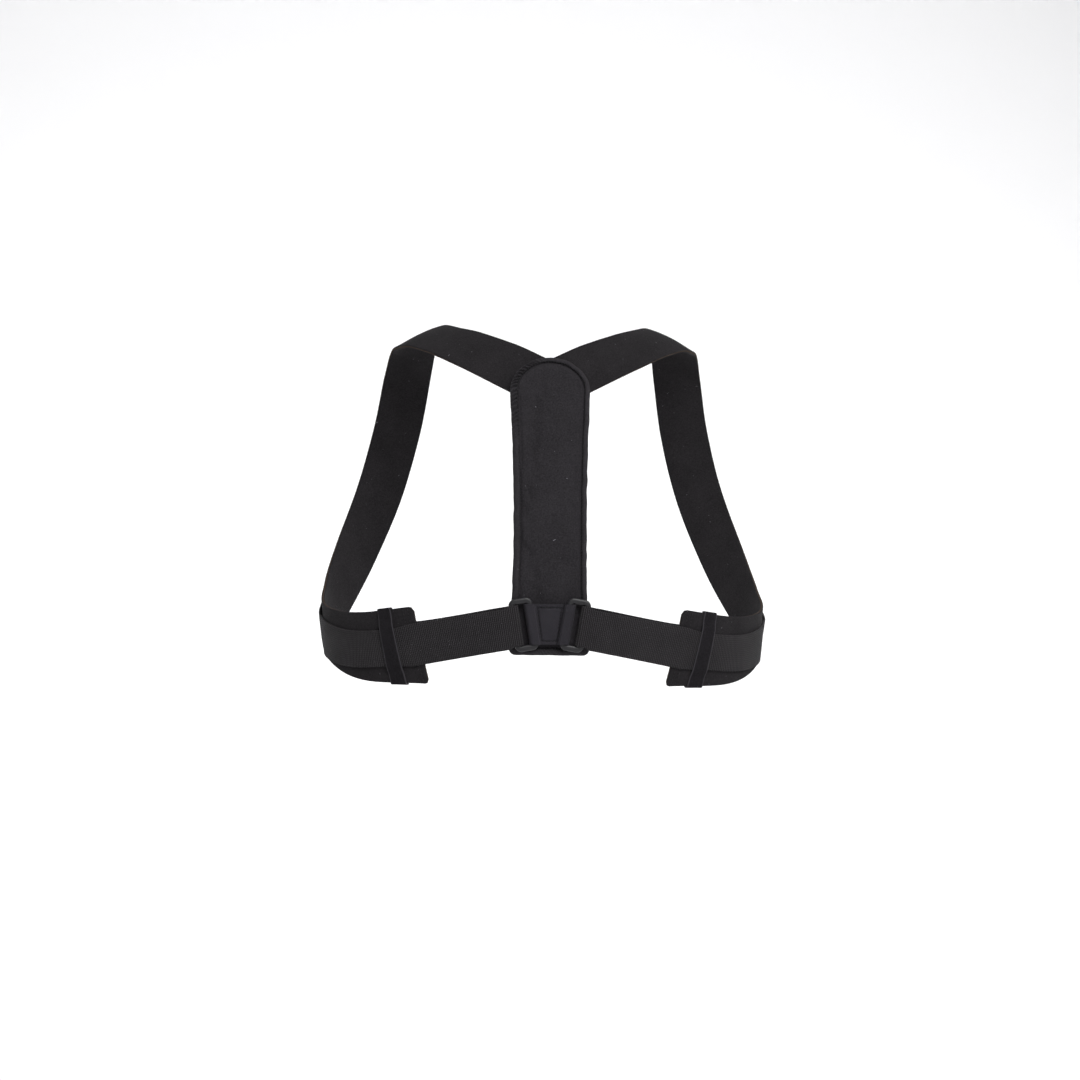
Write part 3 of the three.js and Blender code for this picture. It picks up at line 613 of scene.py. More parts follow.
def sewn_row(name, stitches, thread, finish):
    """A row of stitches, each one a short pulled thread that sinks at both ends.

    A stitch is its two ends and the way out of the cloth under it."""
    bpy.ops.object.select_all(action="DESELECT")
    bpy.ops.mesh.primitive_uv_sphere_add(segments=6, ring_count=6, radius=0.5)
    model = bpy.context.object
    copies = []
    for first, last, outward in stitches:
        along = last - first
        side = along.cross(outward).normalized()
        lift = side.cross(along).normalized()
        axes = Matrix((side * thread, lift * thread * 0.8, along)).transposed().to_4x4()
        copy = model.copy()
        copy.data = model.data.copy()
        copy.data.transform(Matrix.Translation((first + last) / 2) @ axes)
        bpy.context.collection.objects.link(copy)
        copies.append(copy)
    bpy.data.objects.remove(model)
    select_only(copies[0])
    for copy in copies:
        copy.select_set(True)
    bpy.ops.object.join()
    row = bpy.context.object
    row.name = row.data.name = name
    row.data.materials.append(finish)
    edit_all(row, bpy.ops.mesh.normals_make_consistent, inside=False)
    smooth(row)
    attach(row, "root")
    return row


def grainy_finish(name, shades, scale, bump, depth, **plain):
    """A material with a fine grain, which mixes two shades and raises the surface."""
    finish, tree, shader = new_finish(name, **plain)
    where = node(tree, "ShaderNodeTexCoord")
    grain = node(
        tree, "ShaderNodeTexNoise", {"Vector": where.outputs["Object"], "Scale": scale, "Detail": 2}
    )
    mixed = node(tree, "ShaderNodeMix", {"Factor": grain.outputs[0]}, data_type="RGBA")
    mixed.inputs[6].default_value = linear(shades[0])
    mixed.inputs[7].default_value = linear(shades[1])
    tree.links.new(mixed.outputs[2], shader.inputs["Base Color"])
    raised = node(
        tree, "ShaderNodeBump", {"Height": grain.outputs[0], "Strength": bump, "Distance": depth}
    )
    tree.links.new(raised.outputs[0], shader.inputs["Normal"])
    return finish


# Black thread, coloured near-black and darker than the black cloth, so it also stands for the shade in
# the stitch holes: partly real thread, partly painted shade.
painted_shade_thread = grainy_finish(
    "black_thread_painted_hole_shade", ("0b0b0c", "1d1d20"), 3000, 0.4, 0.0002, Roughness=0.5, Specular_IOR_Level=0.35
)

# Each stitch dips into the tape just inside its lip, and rides up with the gathers.
BINDING_PITCH = 0.0026
BINDING_STITCH = 0.0012
BINDING_THREAD = 0.0015
STITCH_RIDE = 0.45
stitch_count = floor(pad_outline.length / BINDING_PITCH)
lip = BINDING_SECTION.at(0.06)
lip_row = []
for i in range(stitch_count):
    ends = []
    for past in (0, BINDING_STITCH):
        u = i / stitch_count + past / pad_outline.length
        spot = inset_point(u % 1, lip.x * tape_share(u % 1))
        lift = STITCH_RIDE * max(gather(u % 1, lip.x), 0)
        ends.append(pad_point(spot.x, spot.y, PAD_THICKNESS / 2 + lip.y + lift))
    outward = pad_point(spot.x, spot.y, 1) - pad_point(spot.x, spot.y, 0)
    lip_row.append((ends[0], ends[1], outward))
sewn_row("binding_stitches", lip_row, BINDING_THREAD, painted_shade_thread)

# Shoulder straps. Foam laminate 3 mm thick, brushed black on both faces and cut clean, so the foam
# shows brown along its edges. They leave the pad behind its head, pass over the shoulders and under
# the arms, and end on the back.
CHEST_WIDTH = 0.362
CHEST_DEPTH = 0.236
SHOULDER_ABOVE_PAD = 0.023
UNDERARM_ABOVE_PAD = 0.005
STRAP_THICKNESS = 0.003
STRAP_WIDTH = 0.06
STRAP_TOP_COVER = 0.0225
STRAP_CROSS_RADIUS = 0.32
RIDGE_CROSS_RADIUS = 0.1
STRAP_CORNER = 0.004
STRAP_END_LEAN = radians(11)
# across, deep and high are shares of half the chest's width, its depth and the rise to the shoulder;
# turn and tip aim the outer face in degrees; wide is a share of the strap's width at its end.
Stop = namedtuple("Stop", "across deep high turn tip wide")
STRAP_ROUTE = [
    Stop(0.193, 0.213, 0.896, 6, 27, 0.67),
    Stop(0.348, 0.272, 0.945, 14, 42, 0.67),
    Stop(0.475, 0.346, 0.982, 40, 58, 0.67),
    Stop(0.566, 0.446, 1, 85, 62, 0.67),
    Stop(0.605, 0.556, 0.971, 145, 54, 0.67),
    Stop(0.635, 0.66, 0.871, 166, 32, 0.67),
    Stop(0.68, 0.734, 0.699, 171, 12, 0.67),
    Stop(0.757, 0.764, 0.499, 165, 1, 0.67),
    Stop(0.862, 0.719, 0.303, 148, -6, 0.67),
    Stop(0.956, 0.6, 0.143, 122, -8, 0.67),
    Stop(1, 0.437, 0.063, 92, -7, 0.68),
    Stop(0.961, 0.276, 0.025, 60, -3, 0.74),
    Stop(0.818, 0.132, -0.002, 30, 0, 0.92),
    Stop(0.567, 0.043, 0.006, 9, 0, 1.05),
]
LAST_STATION = len(STRAP_ROUTE)
pad_station_up = PAD_LENGTH - STRAP_TOP_COVER
back_y = pad_point(0, PAD_LENGTH / 2 - PAD_BEND_RADIUS * PAD_LEAN, 0).y
end_z = pad_point(0, 0, 0).z + UNDERARM_ABOVE_PAD
shoulder_z = pad_point(0, PAD_LENGTH, 0).z + SHOULDER_ABOVE_PAD
route_line = [pad_point(CLEARANCE / 2, pad_station_up, -CLEARANCE - STRAP_THICKNESS / 2)]
route_aim = [Vector((0, pad_tilt(pad_station_up), STRAP_ROUTE[0].wide * STRAP_WIDTH))]
for stop in STRAP_ROUTE:
    y = back_y + stop.deep * CHEST_DEPTH
    z = end_z + (shoulder_z - end_z) * stop.high
    route_line.append(Vector((stop.across * CHEST_WIDTH / 2, y, z)))
    route_aim.append(Vector((radians(stop.turn), radians(stop.tip), stop.wide * STRAP_WIDTH)))


def smooth_curve(stops, station):
    """The smooth curve through a list of stops, at a station between two of them."""
    i = min(max(floor(station), 0), len(stops) - 2)
    t = station - i
    b, c = stops[i], stops[i + 1]
    a = stops[i - 1] if i > 0 else 2 * b - c
    d = stops[i + 2] if i + 2 < len(stops) else 2 * c - b
    leaving, arriving = (c - a) / 2, (d - b) / 2
    square = (3 * (c - b) - 2 * leaving - arriving) * t * t
    cube = (2 * (b - c) + leaving + arriving) * t * t * t
    return b + leaving * t + square + cube


SLOPE_STEP = 0.0014


def strap_frame(station):
    """The strap's middle, the ways along, across and out of it, and half its width, at a station."""
    middle = smooth_curve(route_line, station)
    low, high = max(station - SLOPE_STEP, 0), min(station + SLOPE_STEP, LAST_STATION)
    along = (smooth_curve(route_line, high) - smooth_curve(route_line, low)).normalized()
    turn, tip, width = smooth_curve(route_aim, station)
    face = Vector((sin(turn) * cos(tip), -cos(turn) * cos(tip), sin(tip)))
    face = (face - along * face.dot(along)).normalized()
    return middle, along, along.cross(face), face, width / 2


UPRIGHT_STATIONS = 1.4
LEAN_STATIONS = 2.5
RIDGE_STATION = 4
RIDGE_STATIONS = 2
pad_up = (pad_point(0, pad_station_up + 0.001, 0) - pad_point(0, pad_station_up, 0)).normalized()
pad_out = (pad_point(0, pad_station_up, 0.001) - pad_point(0, pad_station_up, 0)).normalized()
pad_up /= pad_up.dot(strap_frame(0)[2])


def strap_point(station, aside, out):
    """A point on the right strap, across from its middle and out from the middle of its thickness."""
    middle, along, across, face, half = strap_frame(station)
    upright = eased((UPRIGHT_STATIONS - station) / UPRIGHT_STATIONS)
    leaning = eased((station - LAST_STATION + LEAN_STATIONS) / LEAN_STATIONS)
    ridge = eased(1 - abs(station - RIDGE_STATION) / RIDGE_STATIONS)
    bow = (1 - ridge) / STRAP_CROSS_RADIUS + ridge / RIDGE_CROSS_RADIUS
    dip = aside * aside * bow / 2
    across = across.lerp(pad_up, upright)
    face = face.lerp(pad_out, upright).normalized()
    return (
        middle + across * aside - along * aside * tan(STRAP_END_LEAN) * leaning + face * (out - dip)
    )


RUN_STEPS = 560
strap_run = EvenLine([strap_frame(LAST_STATION * i / RUN_STEPS)[0] for i in range(RUN_STEPS + 1)])


def station_at(length):
    """The station at a length along the strap's middle line from the pad."""
    low, part = strap_run.step(length / strap_run.length)
    return (low + part) * LAST_STATION / RUN_STEPS


def from_end(length):
    """The station at a length back along the strap from its end."""
    return station_at(strap_run.length - length)


ELASTIC_RETURN = 0.168
STRAP_STEPS = 300
STRAP_ACROSS = 22
WAVE_EASE = 0.05
WAVE_HEIGHT = 0.0011


def strap_wave(length, aside, side):
    """The strap's slow waves where nothing holds it, none at the pad or under the elastic."""
    off_pad = eased(length / WAVE_EASE - 1)
    off_elastic = eased((strap_run.length - ELASTIC_RETURN - length) / WAVE_EASE)
    spot = Vector((length * 22, aside * 30, side * 7.3))
    return off_pad * off_elastic * WAVE_HEIGHT * noise.noise(spot)


def on_side(side, place):
    """The places of a piece made for the right side, kept there or turned over to the left."""

    def sided(*shares):
        point = place(*shares)
        return Vector((point.x * side, point.y, point.z))

    return sided


def strap_place_for(side):
    """Where a strap's points lie. Each side has its own waves."""

    def place(u, v):
        length = u * strap_run.length
        station = station_at(length)
        half = strap_frame(station)[4]
        left = strap_run.length - length
        if left < STRAP_CORNER:
            bite = STRAP_CORNER - left
            half -= STRAP_CORNER - (STRAP_CORNER**2 - bite**2) ** 0.5
        aside = (2 * v - 1) * half
        return strap_point(station, aside, strap_wave(length, aside, side))

    return on_side(side, place)


strap_cloth = brushed_finish(
    "strap_cloth", "282628", "66656a", 0.6, Fibre_Scale=1000, Patch_Scale=40, Lint_Share=0.4
)
foam_edge = grainy_finish(
    "foam_edge", ("282321", "544840"), 2500, 0.5, 0.0003, Roughness=0.95, Specular_IOR_Level=0.1
)

def thicken(piece, thickness, edge, segments, rim=0, **settings):
    """Gives a strip its thickness, half to each side, and rounds its edges."""
    apply_modifier(
        piece, "SOLIDIFY", thickness=thickness, offset=0, material_offset_rim=rim, **settings
    )
    rounded = {"limit_method": "ANGLE", "angle_limit": radians(60), "material": 0 if rim else -1}
    apply_modifier(piece, "BEVEL", width=edge, segments=segments, **rounded)
    smooth(piece)


# The strip's texture width is the strap's nominal width, though most of the strap is narrower.
SIDES = [("right", 1), ("left", -1)]
for word, side in SIDES:
    strap = cloth_strip(
        f"padded_strap_{word}",
        STRAP_STEPS,
        STRAP_ACROSS,
        strap_run.length,
        STRAP_WIDTH,
        strap_place_for(side),
    )
    strap.data.materials.append(strap_cloth)
    strap.data.materials.append(foam_edge)
    thicken(strap, STRAP_THICKNESS, 0.0008, 3, rim=1)
    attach(strap, "root")
    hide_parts(f"shoulder_strap_{word}")

# Two rows of stitches hold the elastic in the strap's end.
END_PITCH = 0.0028
END_THREAD = 0.0006
END_ROWS = (0.0045, 0.0085)
END_MARGIN = 0.0015
END_PROUD = 0.0001
STITCH_SHARES = (0.15, 0.85)
for word, side in SIDES:
    sided_point = on_side(side, strap_point)
    sided_out = on_side(side, lambda station: strap_frame(station)[3])
    hem = []
    for station in (from_end(setback) for setback in END_ROWS):
        half = strap_frame(station)[4] - END_MARGIN
        count = floor(2 * half / END_PITCH)
        for i in range(count):
            ends = []
            for part in STITCH_SHARES:
                aside = half * (2 * (i + part) / count - 1)
                ends.append(sided_point(station, aside, STRAP_THICKNESS / 2 + END_PROUD))
            hem.append((*ends, sided_out(station)))
    sewn_row(f"end_stitches_{word}", hem, END_THREAD, painted_shade_thread)

# Moulded rings. Two flat frames of satin black plastic, each with one slot that the webbing and the
# elastic share. They lie on the foot of the pad and lean in with the pull of the elastic.
RING_BAR = 0.005
RING_END_BAR = 0.0048
RING_HALF_HEIGHT = 0.0214
RING_GAP = 0.0096
RING_THICKNESS = 0.0034
RING_CORNER = 0.0055
RING_OFFSET = 0.0208
RING_LEAN = radians(9.5)
ELASTIC_WIDTH = 0.034
ELASTIC_THICKNESS = 0.0015
RING_STAND_OFF = 0.0016
RING_OUT = PAD_THICKNESS + 2 * CLEARANCE + ELASTIC_THICKNESS + RING_STAND_OFF
RING_STEPS_ROUND = 220
RING_STEPS_SECTION = 24
SLOT_CORNER = 0.0012
SQUARED = 0.72
ring_seat = Matrix.Translation(pad_point(0, RING_HEIGHT, 0)) @ Matrix.Rotation(
    -pad_tilt(RING_HEIGHT), 4, "X"
)


def ring_loop(half_width, half_height, corner):
    """A rounded rectangle in the ring's plane, walked round from its right side."""
    loop = []
    for right, top, start_angle in ((1, 1, 0), (-1, 1, pi / 2), (-1, -1, pi), (1, -1, 1.5 * pi)):
        for i in range(13):
            angle = start_angle + pi / 2 * i / 12
            x = right * (half_width - corner) + corner * cos(angle)
            loop.append((x, top * (half_height - corner) + corner * sin(angle)))
    return [*loop, loop[0]]


ring_outer = EvenLine(ring_loop(RING_GAP / 2 + RING_BAR, RING_HALF_HEIGHT, RING_CORNER))
ring_slot = EvenLine(ring_loop(RING_GAP / 2, RING_HALF_HEIGHT - RING_END_BAR, SLOT_CORNER)).places


def bulge(value):
    """A cosine or sine squared off towards a box's, for the section of a moulded bar."""
    return abs(value) ** SQUARED * (1 if value > 0 else -1)


def ring_place_for(side):
    """Where a ring's points lie: round the frame by u, and round the bar's section by v."""
    seat = Matrix.Translation((side * RING_OFFSET, -RING_OUT, 0)) @ Matrix.Rotation(
        side * RING_LEAN, 4, "Y"
    )

    def place(u, v):
        low, part = ring_outer.step(u)
        outer = ring_outer.places[low].lerp(ring_outer.places[low + 1], part)
        inner = ring_slot[low].lerp(ring_slot[low + 1], part)
        reach = 0.5 + 0.5 * bulge(cos(2 * pi * v))
        spot = inner.lerp(outer, reach)
        out = RING_THICKNESS / 2 * bulge(sin(2 * pi * v))
        return ring_seat @ seat @ Vector((spot.x, out, spot.y))

    return place


ring_plastic, tree, shader = new_finish("ring_plastic", Roughness=0.4, Specular_IOR_Level=0.5)
shader.inputs["Base Color"].default_value = linear("242326")
where = node(tree, "ShaderNodeTexCoord")
mould = node(
    tree, "ShaderNodeTexNoise", {"Vector": where.outputs["Object"], "Scale": 900, "Detail": 3}
)
satin = math(tree, "MULTIPLY_ADD", mould.outputs[0], 0.12, 0.34)
tree.links.new(satin, shader.inputs["Roughness"])
raised = node(
    tree, "ShaderNodeBump", {"Height": mould.outputs[0], "Strength": 0.05, "Distance": 0.0001}
)
tree.links.new(raised.outputs[0], shader.inputs["Normal"])

for word, side in SIDES:
    ring = cloth_strip(
        f"moulded_ring_{word}",
        RING_STEPS_ROUND,
        RING_STEPS_SECTION,
        ring_outer.length,
        2 * RING_BAR,
        ring_place_for(side),
    )
    close_strip(ring)
    ring.data.materials.append(ring_plastic)
    smooth(ring)
    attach(ring, "root")
    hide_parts(f"ring_{word}")

# Elastic straps. Ribbed black elastic 34 mm wide, sewn into the strap's end. It runs to the ring,
# folds round its outer bar and comes back over the strap to its hook tab.
ELASTIC_END_WIDTH = 0.0296
ELASTIC_BELOW = 0.0012
ELASTIC_RISE = 0.0025
ELASTIC_DROP = 0.0038
ELASTIC_DROP_REACH = 0.09
KEEPER_WIDTH = 0.0126
KEEPER_SETBACK = 0.0252
HOOK_LENGTH = 0.038
HOOK_THICKNESS = 0.001
ELASTIC_LANDING = 0.006
RING_BEVEL = 0.0007
ON_STRAP = STRAP_THICKNESS / 2 + CLEARANCE
ELASTIC_LEVEL = ON_STRAP + ELASTIC_THICKNESS / 2
HOOKED_LEVEL = ELASTIC_LEVEL + HOOK_THICKNESS + CLEARANCE
hook_end = from_end(ELASTIC_RETURN)
hook_start = from_end(ELASTIC_RETURN - HOOK_LENGTH)
hook_ramp = from_end(ELASTIC_RETURN - HOOK_LENGTH - 4 * HOOK_THICKNESS)
keeper_station = from_end(KEEPER_SETBACK)
keeper_far = from_end(KEEPER_SETBACK + KEEPER_WIDTH / 2)
dropped = from_end(ELASTIC_DROP_REACH)


def seat_point(outward, along, out):
    """A point on the right ring's seat: outward from its middle, along its bars, out from the pad."""
    x = RING_OFFSET + outward * cos(RING_LEAN) + along * sin(RING_LEAN)
    z = along * cos(RING_LEAN) - outward * sin(RING_LEAN)
    return ring_seat @ Vector((x, -out, z))


def elastic_half(station):
    """Half the elastic's width where it lies on the strap."""
    share = eased((station - keeper_far) / (LAST_STATION - keeper_far))
    return (ELASTIC_END_WIDTH + (ELASTIC_WIDTH - ELASTIC_END_WIDTH) * share) / 2


def elastic_shift(station):
    """How far up across the strap the elastic's middle lies. Past the keeper it keeps level."""
    up = max((station - keeper_station) / (LAST_STATION - keeper_station), 0)
    down = eased((keeper_station - station) / (keeper_station - dropped))
    return ELASTIC_RISE * up * up - ELASTIC_DROP * down - ELASTIC_BELOW


def elastic_level(station):
    """How far the elastic's middle stands over the strap's."""
    share = min(max((hook_ramp - station) / (hook_ramp - hook_start), 0), 1)
    return ELASTIC_LEVEL + (HOOKED_LEVEL - ELASTIC_LEVEL) * share


COLUMNS = 16
IN_SLOT = 0.0164


def seat_row(outward, out, low=-IN_SLOT, high=IN_SLOT):
    """One row across the elastic beside or round the ring's bar, where the slot gathers it."""
    return [seat_point(outward, low + (high - low) * j / COLUMNS, out) for j in range(COLUMNS + 1)]


def strap_row(station, half, level, raised=0):
    """One row across the elastic where it lies on the strap or in its end."""
    shift = elastic_shift(station) + raised
    asides = [shift + half * (2 * j / COLUMNS - 1) for j in range(COLUMNS + 1)]
    return [strap_point(station, aside, level) for aside in asides]


def span_rows(first, last, leaving, arriving, steps):
    """Rows that pass smoothly from one row to another."""
    reach = (last[0] - first[0]).length / 6
    rows = []
    for i in range(1, steps):
        t = i / steps
        row = []
        for a, d in zip(first, last):
            b, c = a + leaving * reach, d - arriving * reach
            row.append(
                a * (1 - t) ** 3 + b * 3 * t * (1 - t) ** 2 + c * 3 * t * t * (1 - t) + d * t**3
            )
        rows.append(row)
    return rows


fold_outward = RING_GAP / 2 + RING_BEVEL
fold_radius = RING_THICKNESS / 2 + CLEARANCE + ELASTIC_THICKNESS / 2
past_pad = (PAD_FOOT_WIDTH / 2 - RING_OFFSET) / cos(RING_LEAN) + 3 * ELASTIC_THICKNESS
past_ring = RING_GAP / 2 + RING_BAR + ELASTIC_THICKNESS
to_ring = seat_point(0, 0, 0) - seat_point(1, 0, 0)
end_along = strap_frame(LAST_STATION)[1]
SEWN_IN = 0.012
SEWN_RAISED = 0.0012
sewn = [
    strap_row(from_end(SEWN_IN * (1 - i / 8)), ELASTIC_WIDTH / 2, 0, SEWN_RAISED) for i in range(9)
]
BESIDE_PAD = (-0.0158, 0.0163)
beside_pad = seat_row(past_pad, RING_OUT - fold_radius, *BESIDE_PAD)
fold = []
for i in range(25):
    turn = pi * i / 24
    fold.append(seat_row(fold_outward - fold_radius * sin(turn), RING_OUT - fold_radius * cos(turn)))
# Over the bar the elastic spreads down and its upper edge slants down with it.
FLARE_REACH = 0.003
FLARE_DOWN = 0.0018
FLARE_IN = 0.002
over_ring = []
for i in range(9):
    flare = eased((i - 3) / 5)
    outward = fold_outward + (past_ring + FLARE_REACH - fold_outward) * (i + 1) / 9
    low, high = -IN_SLOT - FLARE_DOWN * flare, IN_SLOT - FLARE_IN * flare
    over_ring.append(seat_row(outward, RING_OUT + fold_radius, low, high))
landing = from_end(ELASTIC_LANDING)
on_strap = []
for i in range(121):
    station = landing + (hook_end - landing) * i / 120
    on_strap.append(strap_row(station, elastic_half(station), elastic_level(station)))
landing_way = (on_strap[1][COLUMNS // 2] - on_strap[0][COLUMNS // 2]).normalized()
elastic_rows = [
    *sewn,
    *span_rows(sewn[-1], beside_pad, end_along, to_ring, 24),
    beside_pad,
    *fold,
    *over_ring,
    *span_rows(over_ring[-1], on_strap[0], -to_ring, landing_way, 32),
    *on_strap,
]
elastic_run = EvenLine([row[COLUMNS // 2] for row in elastic_rows])
ELASTIC_STEPS = 360


def elastic_place(u, v):
    """A point of the right elastic: along its run by u, and up its width by v."""
    low, part = elastic_run.step(u)
    j = round(v * COLUMNS)
    return elastic_rows[low][j].lerp(elastic_rows[low + 1][j], part)


# Ribs across the elastic, each broken up by the knit so that neighbours are half a loop apart. Its
# shade output follows the height: darker down between ribs and loops and lighter on their tops, as
# painted shade and painted highlight.
knit_ribs, start, end = new_group(
    "knit_ribs",
    [
        ("Vector", "NodeSocketVector", None),
        ("Ribs", "NodeSocketFloat", 1000),
        ("Loops", "NodeSocketFloat", 800),
        ("Slant", "NodeSocketFloat", 0.5),
    ],
    [("Height", "NodeSocketFloat"), ("Shade", "NodeSocketFloat")],
)
tree = knit_ribs
parts = node(tree, "ShaderNodeSeparateXYZ", {0: start.outputs["Vector"]})
rib = math(tree, "MULTIPLY", parts.outputs[0], start.outputs["Ribs"])
loop = math(tree, "MULTIPLY", parts.outputs[1], start.outputs["Loops"])
row = math(tree, "FLOOR", rib)
odd = math(tree, "PINGPONG", row, 1.0)
slant = math(tree, "MULTIPLY", math(tree, "FRACT", rib), start.outputs["Slant"])
slant = math(tree, "MULTIPLY", slant, math(tree, "MULTIPLY_ADD", odd, 2.0, -1.0))
shifted = math(tree, "ADD", math(tree, "MULTIPLY_ADD", odd, 0.5, loop), slant)
rib_wave = math(tree, "ABSOLUTE", math(tree, "SINE", math(tree, "MULTIPLY", rib, pi)))
loop_wave = math(tree, "ABSOLUTE", math(tree, "SINE", math(tree, "MULTIPLY", shifted, pi)))
height = math(tree, "MULTIPLY", rib_wave, math(tree, "MULTIPLY_ADD", loop_wave, 0.5, 0.5))
tree.links.new(height, end.inputs["Height"])
# The shade is painted shade: the colour darkens in the valleys and lightens on the rib tops.
tree.links.new(math(tree, "MULTIPLY_ADD", height, 2.2, 0.05), end.inputs["Shade"])


def ribbed_finish(name, color, bump, roughness, **inputs):
    """A knitted or woven band whose ribs follow its own length, with painted shade between the ribs."""
    finish, tree, shader = new_finish(
        name, Roughness=roughness, Specular_IOR_Level=0.2, Sheen_Weight=0.03
    )
    where = node(tree, "ShaderNodeTexCoord")
    ribs = node(tree, "ShaderNodeGroup", {"Vector": where.outputs["UV"]}, node_tree=knit_ribs)
    for key, value in inputs.items():
        ribs.inputs[key].default_value = value
    patch = node(
        tree, "ShaderNodeTexNoise", {"Vector": where.outputs["Object"], "Scale": 60, "Detail": 4}
    )
    patchy = math(tree, "MULTIPLY_ADD", patch.outputs[0], 0.5, 0.75)
    # The ribs' painted shade and highlight, mixed with random patches of tone.
    shade = math(tree, "MULTIPLY", ribs.outputs["Shade"], patchy)
    tone = node(
        tree, "ShaderNodeVectorMath", {0: linear(color)[:3], "Scale": shade}, operation="SCALE"
    )
    tree.links.new(tone.outputs[0], shader.inputs["Base Color"])
    raised = node(
        tree,
        "ShaderNodeBump",
        {"Height": ribs.outputs["Height"], "Strength": bump, "Distance": 0.0005},
    )
    tree.links.new(raised.outputs[0], shader.inputs["Normal"])
    return finish


# The knit's colour carries painted shade in its rib valleys.
elastic_knit = ribbed_finish("elastic_knit", "282628", 1.0, 0.75, Ribs=640, Loops=560, Slant=0.6)
for word, side in SIDES:
    elastic = cloth_strip(
        f"elastic_band_{word}",
        ELASTIC_STEPS,
        COLUMNS,
        elastic_run.length,
        ELASTIC_WIDTH,
        on_side(side, elastic_place),
    )
    elastic.data.materials.append(elastic_knit)
    thicken(elastic, ELASTIC_THICKNESS, 0.00045, 2, use_even_offset=True)
    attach(elastic, "root")
    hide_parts(f"elastic_strap_{word}")

# Hook tabs. A strip of plain hook tape is sewn under each elastic's own end and grips the brushed
# face of the strap.
hook_tape = brushed_finish(
    "hook_tape", "1f1e20", "1f1e20", 0.9, Fibre_Scale=900, Patch_Scale=60, Lint_Share=0.0
)


def hook_place(u, v):
    """A point of the right hook tab, from the elastic's end by u and up across it by v."""
    station = hook_end + (hook_start - hook_end) * u
    half = elastic_half(station) - ELASTIC_THICKNESS
    aside = elastic_shift(station) + half * (2 * v - 1)
    return strap_point(station, aside, ON_STRAP + HOOK_THICKNESS / 2)


for word, side in SIDES:
    tab = cloth_strip(
        f"hook_tape_{word}", 30, 14, HOOK_LENGTH, ELASTIC_END_WIDTH, on_side(side, hook_place)
    )
    tab.data.materials.append(hook_tape)
    thicken(tab, HOOK_THICKNESS, 0.0003, 2)
    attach(tab, "root")
    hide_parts(f"hook_tab_{word}")

# Keeper loops. A band of velour sewn into a closed loop goes round the strap and holds the elastic
# down on it. Its two edges are turned under, and the light they catch is painted on as lighter lines
# along both edges, a painted highlight.
KEEPER_THICKNESS = 0.0012
# The width of each painted highlight line along the keeper's edges.
PAINTED_HIGHLIGHT_LINE = 0.0011
KEEPER_STEP = 0.0018
KEEPER_STEPS = 150


def keeper_path(station):
    """The keeper's path round the strap at a station, as places across from the middle and out."""
    strap_half = strap_frame(station)[4]
    band_half = elastic_half(station)
    gap = CLEARANCE + KEEPER_THICKNESS / 2
    face = STRAP_THICKNESS / 2
    far = ELASTIC_LEVEL + ELASTIC_THICKNESS / 2 + gap
    half = [(0, -face - gap), (strap_half * 0.5, -face - gap)]
    for middle, start_angle in ((-face, -pi / 2), (face, 0)):
        for j in range(7):
            angle = start_angle + pi / 2 * j / 6
            half.append((strap_half + gap * cos(angle), middle + gap * sin(angle)))
    shoulder = (strap_half + band_half + KEEPER_STEP) / 2
    edge = band_half + KEEPER_STEP / 2
    half.append((shoulder + 0.001, face + gap))
    for j in range(1, 8):
        share = eased(j / 8)
        half.append((shoulder + (edge - shoulder) * j / 8, face + gap + (far - face - gap) * share))
    half.append((edge, far))
    half.append((0, far))
    other = [(-aside, out) for aside, out in reversed(half[1:-1])]
    return EvenLine([*half, *other, half[0]])


keeper_near = from_end(KEEPER_SETBACK - KEEPER_WIDTH / 2)
keeper_edges = [(station, keeper_path(station)) for station in (keeper_far, keeper_near)]


def keeper_place(u, v):
    """A point of the right keeper: round the strap by u, and across the band by v."""
    ends = []
    for station, path in keeper_edges:
        spot = path.at(u)
        ends.append(strap_point(station, spot.x, spot.y))
    return ends[0].lerp(ends[1], v)


keeper_velour = brushed_finish(
    "keeper_velour",
    "1f1d20",
    "4c4a50",
    0.7,
    # The lighter edge lines are a painted highlight.
    painted_edge_highlight=(KEEPER_WIDTH, PAINTED_HIGHLIGHT_LINE, "3e3c40"),
    Fibre_Scale=900,
    Patch_Scale=90,
    Lint_Scale=220,
    Lint_Share=0.4,
)
for word, side in SIDES:
    keeper = cloth_strip(
        f"velour_keeper_{word}",
        KEEPER_STEPS,
        10,
        keeper_edges[0][1].length,
        KEEPER_WIDTH,
        on_side(side, keeper_place),
    )
    edit_all(keeper, bpy.ops.mesh.remove_doubles, threshold=SAME_PLACE)
    keeper.data.materials.append(keeper_velour)
    thicken(keeper, KEEPER_THICKNESS, 0.0004, 2, use_even_offset=True)
    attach(keeper, "root")
    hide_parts(f"keeper_loop_{word}")

# Ring webbing. One length of close woven tape lies across the foot of the pad, goes round the inner
# bar of each ring, and its two ends overlap in the middle, where rows of stitches go through it all.
WEBBING_WIDTH = 0.0324
WEBBING_RISE = 0.0004
WEBBING_THICKNESS = 0.0012
WEBBING_SEAM = 0.0164
WEBBING_STEPS = 300
WEBBING_ACROSS = 56
SEAM_ROW = 0.0134
SEAM_PULL = 0.0007
SEAM_PULL_REACH = 0.0012
web_base = PAD_THICKNESS + CLEARANCE + WEBBING_THICKNESS / 2
web_loop = RING_OUT + RING_THICKNESS / 2 + CLEARANCE + WEBBING_THICKNESS / 2
web_fold_x = RING_OFFSET - (RING_GAP / 2 + RING_BEVEL) / cos(RING_LEAN)
web_bar_x = RING_OFFSET - (RING_GAP / 2 + RING_BAR + CLEARANCE) / cos(RING_LEAN)
web_fold_out = (web_base + web_loop) / 2
web_fold_radius = (web_loop - web_base) / 2
seam_half = WEBBING_SEAM / 2


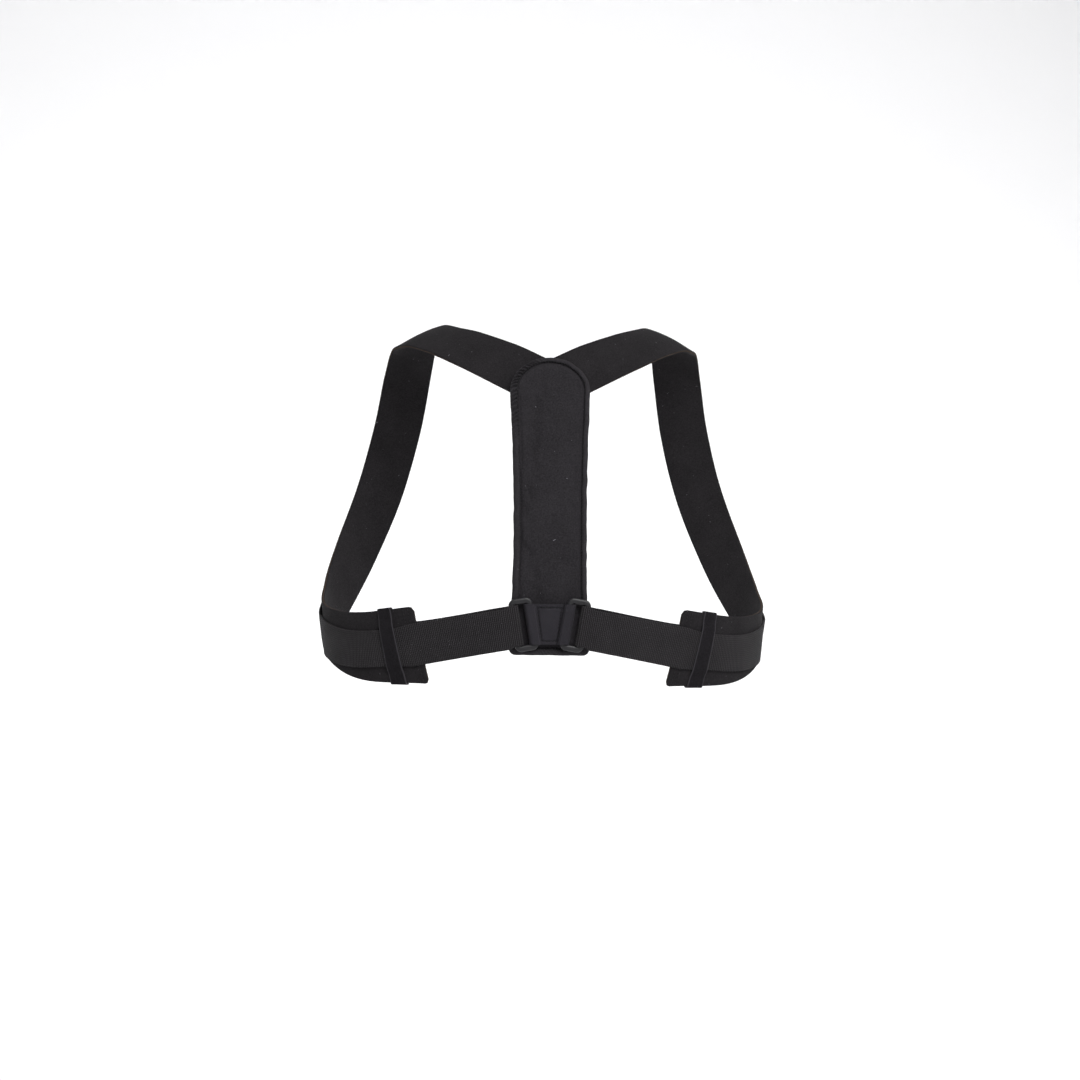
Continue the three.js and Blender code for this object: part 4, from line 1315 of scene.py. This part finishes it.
def web_side(side, seam_level, seam_end):
    """The webbing's path over one side, from its end on the seam round the ring's bar to the pad."""
    places = [(seam_end, seam_level), (side * seam_half, seam_level)]
    for rise, reach in ((0.08, 0.0006), (0.35, 0.0012), (0.75, 0.0017), (0.95, 0.0024)):
        places.append((side * (seam_half + reach), seam_level + (web_loop - seam_level) * rise))
    places.append((side * (web_bar_x - 0.0002), web_loop))
    for i in range(17):
        angle = pi / 2 - pi * i / 16
        x = web_fold_x + web_fold_radius * cos(angle)
        places.append((side * x, web_fold_out + web_fold_radius * sin(angle)))
    return places


under = web_side(1, web_base + WEBBING_THICKNESS, -seam_half)
over = web_side(-1, web_base + 2 * WEBBING_THICKNESS, seam_half)
web_path = EvenLine([*under, *reversed(over)])


def seam_box_half(up):
    """Half the width of the box of stitches at a height, narrower towards the pad's foot."""
    return seam_half - 0.0004 + up * tan(RING_LEAN) * 0.8


def web_groove(x, up):
    """How deep the box of stitches pulls the webbing in at a place on the seam."""
    box_x = seam_box_half(up)
    past_side = abs(x) - box_x
    past_row = abs(up - WEBBING_RISE) - SEAM_ROW
    to_side = 1 if past_row > 0 else abs(past_side)
    to_row = 1 if past_side > 0 else abs(past_row)
    return SEAM_PULL * (1 - eased(min(to_side, to_row) / SEAM_PULL_REACH))


def web_place(u, v):
    """A point of the webbing: along its path by u, and up its width by v, leaned as the rings are."""
    spot = web_path.at(u)
    up = WEBBING_RISE + (v - 0.5) * WEBBING_WIDTH
    lean = (1 if spot.x > 0 else -1) * min(abs(spot.x) / 0.004, 1) * tan(RING_LEAN)
    x = spot.x + lean * up
    groove = web_groove(x, up) if abs(spot.x) <= seam_half + 0.001 else 0
    return ring_seat @ Vector((x, groove - spot.y, up))


webbing = cloth_strip(
    "webbing_over_rings", WEBBING_STEPS, WEBBING_ACROSS, web_path.length, WEBBING_WIDTH, web_place
)
# The weave's colour carries the same painted shade in its valleys.
web_weave = ribbed_finish("web_weave", "2a282d", 0.35, 0.7, Ribs=1700, Loops=1700, Slant=0.0)
webbing.data.materials.append(web_weave)
thicken(webbing, WEBBING_THICKNESS * 0.96, 0.0003, 2)
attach(webbing, "root")
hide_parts("ring_webbing")

# A box of stitches goes through every layer of the seam, and lies sunk in the webbing's face.
WEB_PITCH = 0.0024
WEB_THREAD = 0.0012
WEB_SUNK = 0.0003
WEB_STITCH_SHARES = (0.22, 0.78)
seam_top = web_base + 2.5 * WEBBING_THICKNESS
outward = ring_seat.to_3x3() @ Vector((0, -1, 0))
corners = []
for side in (1, -1):
    for up in (side * SEAM_ROW, -side * SEAM_ROW):
        corners.append((side * seam_box_half(up), up))
seam_box = EvenLine([*corners, corners[0]])
box_row = []
count = floor(seam_box.length / WEB_PITCH)
for i in range(count):
    ends = []
    for part in WEB_STITCH_SHARES:
        spot = seam_box.at((i + part) / count)
        ends.append(ring_seat @ Vector((spot.x, WEB_SUNK - seam_top, WEBBING_RISE + spot.y)))
    box_row.append((*ends, outward))
sewn_row("webbing_stitches", box_row, WEB_THREAD, painted_shade_thread)
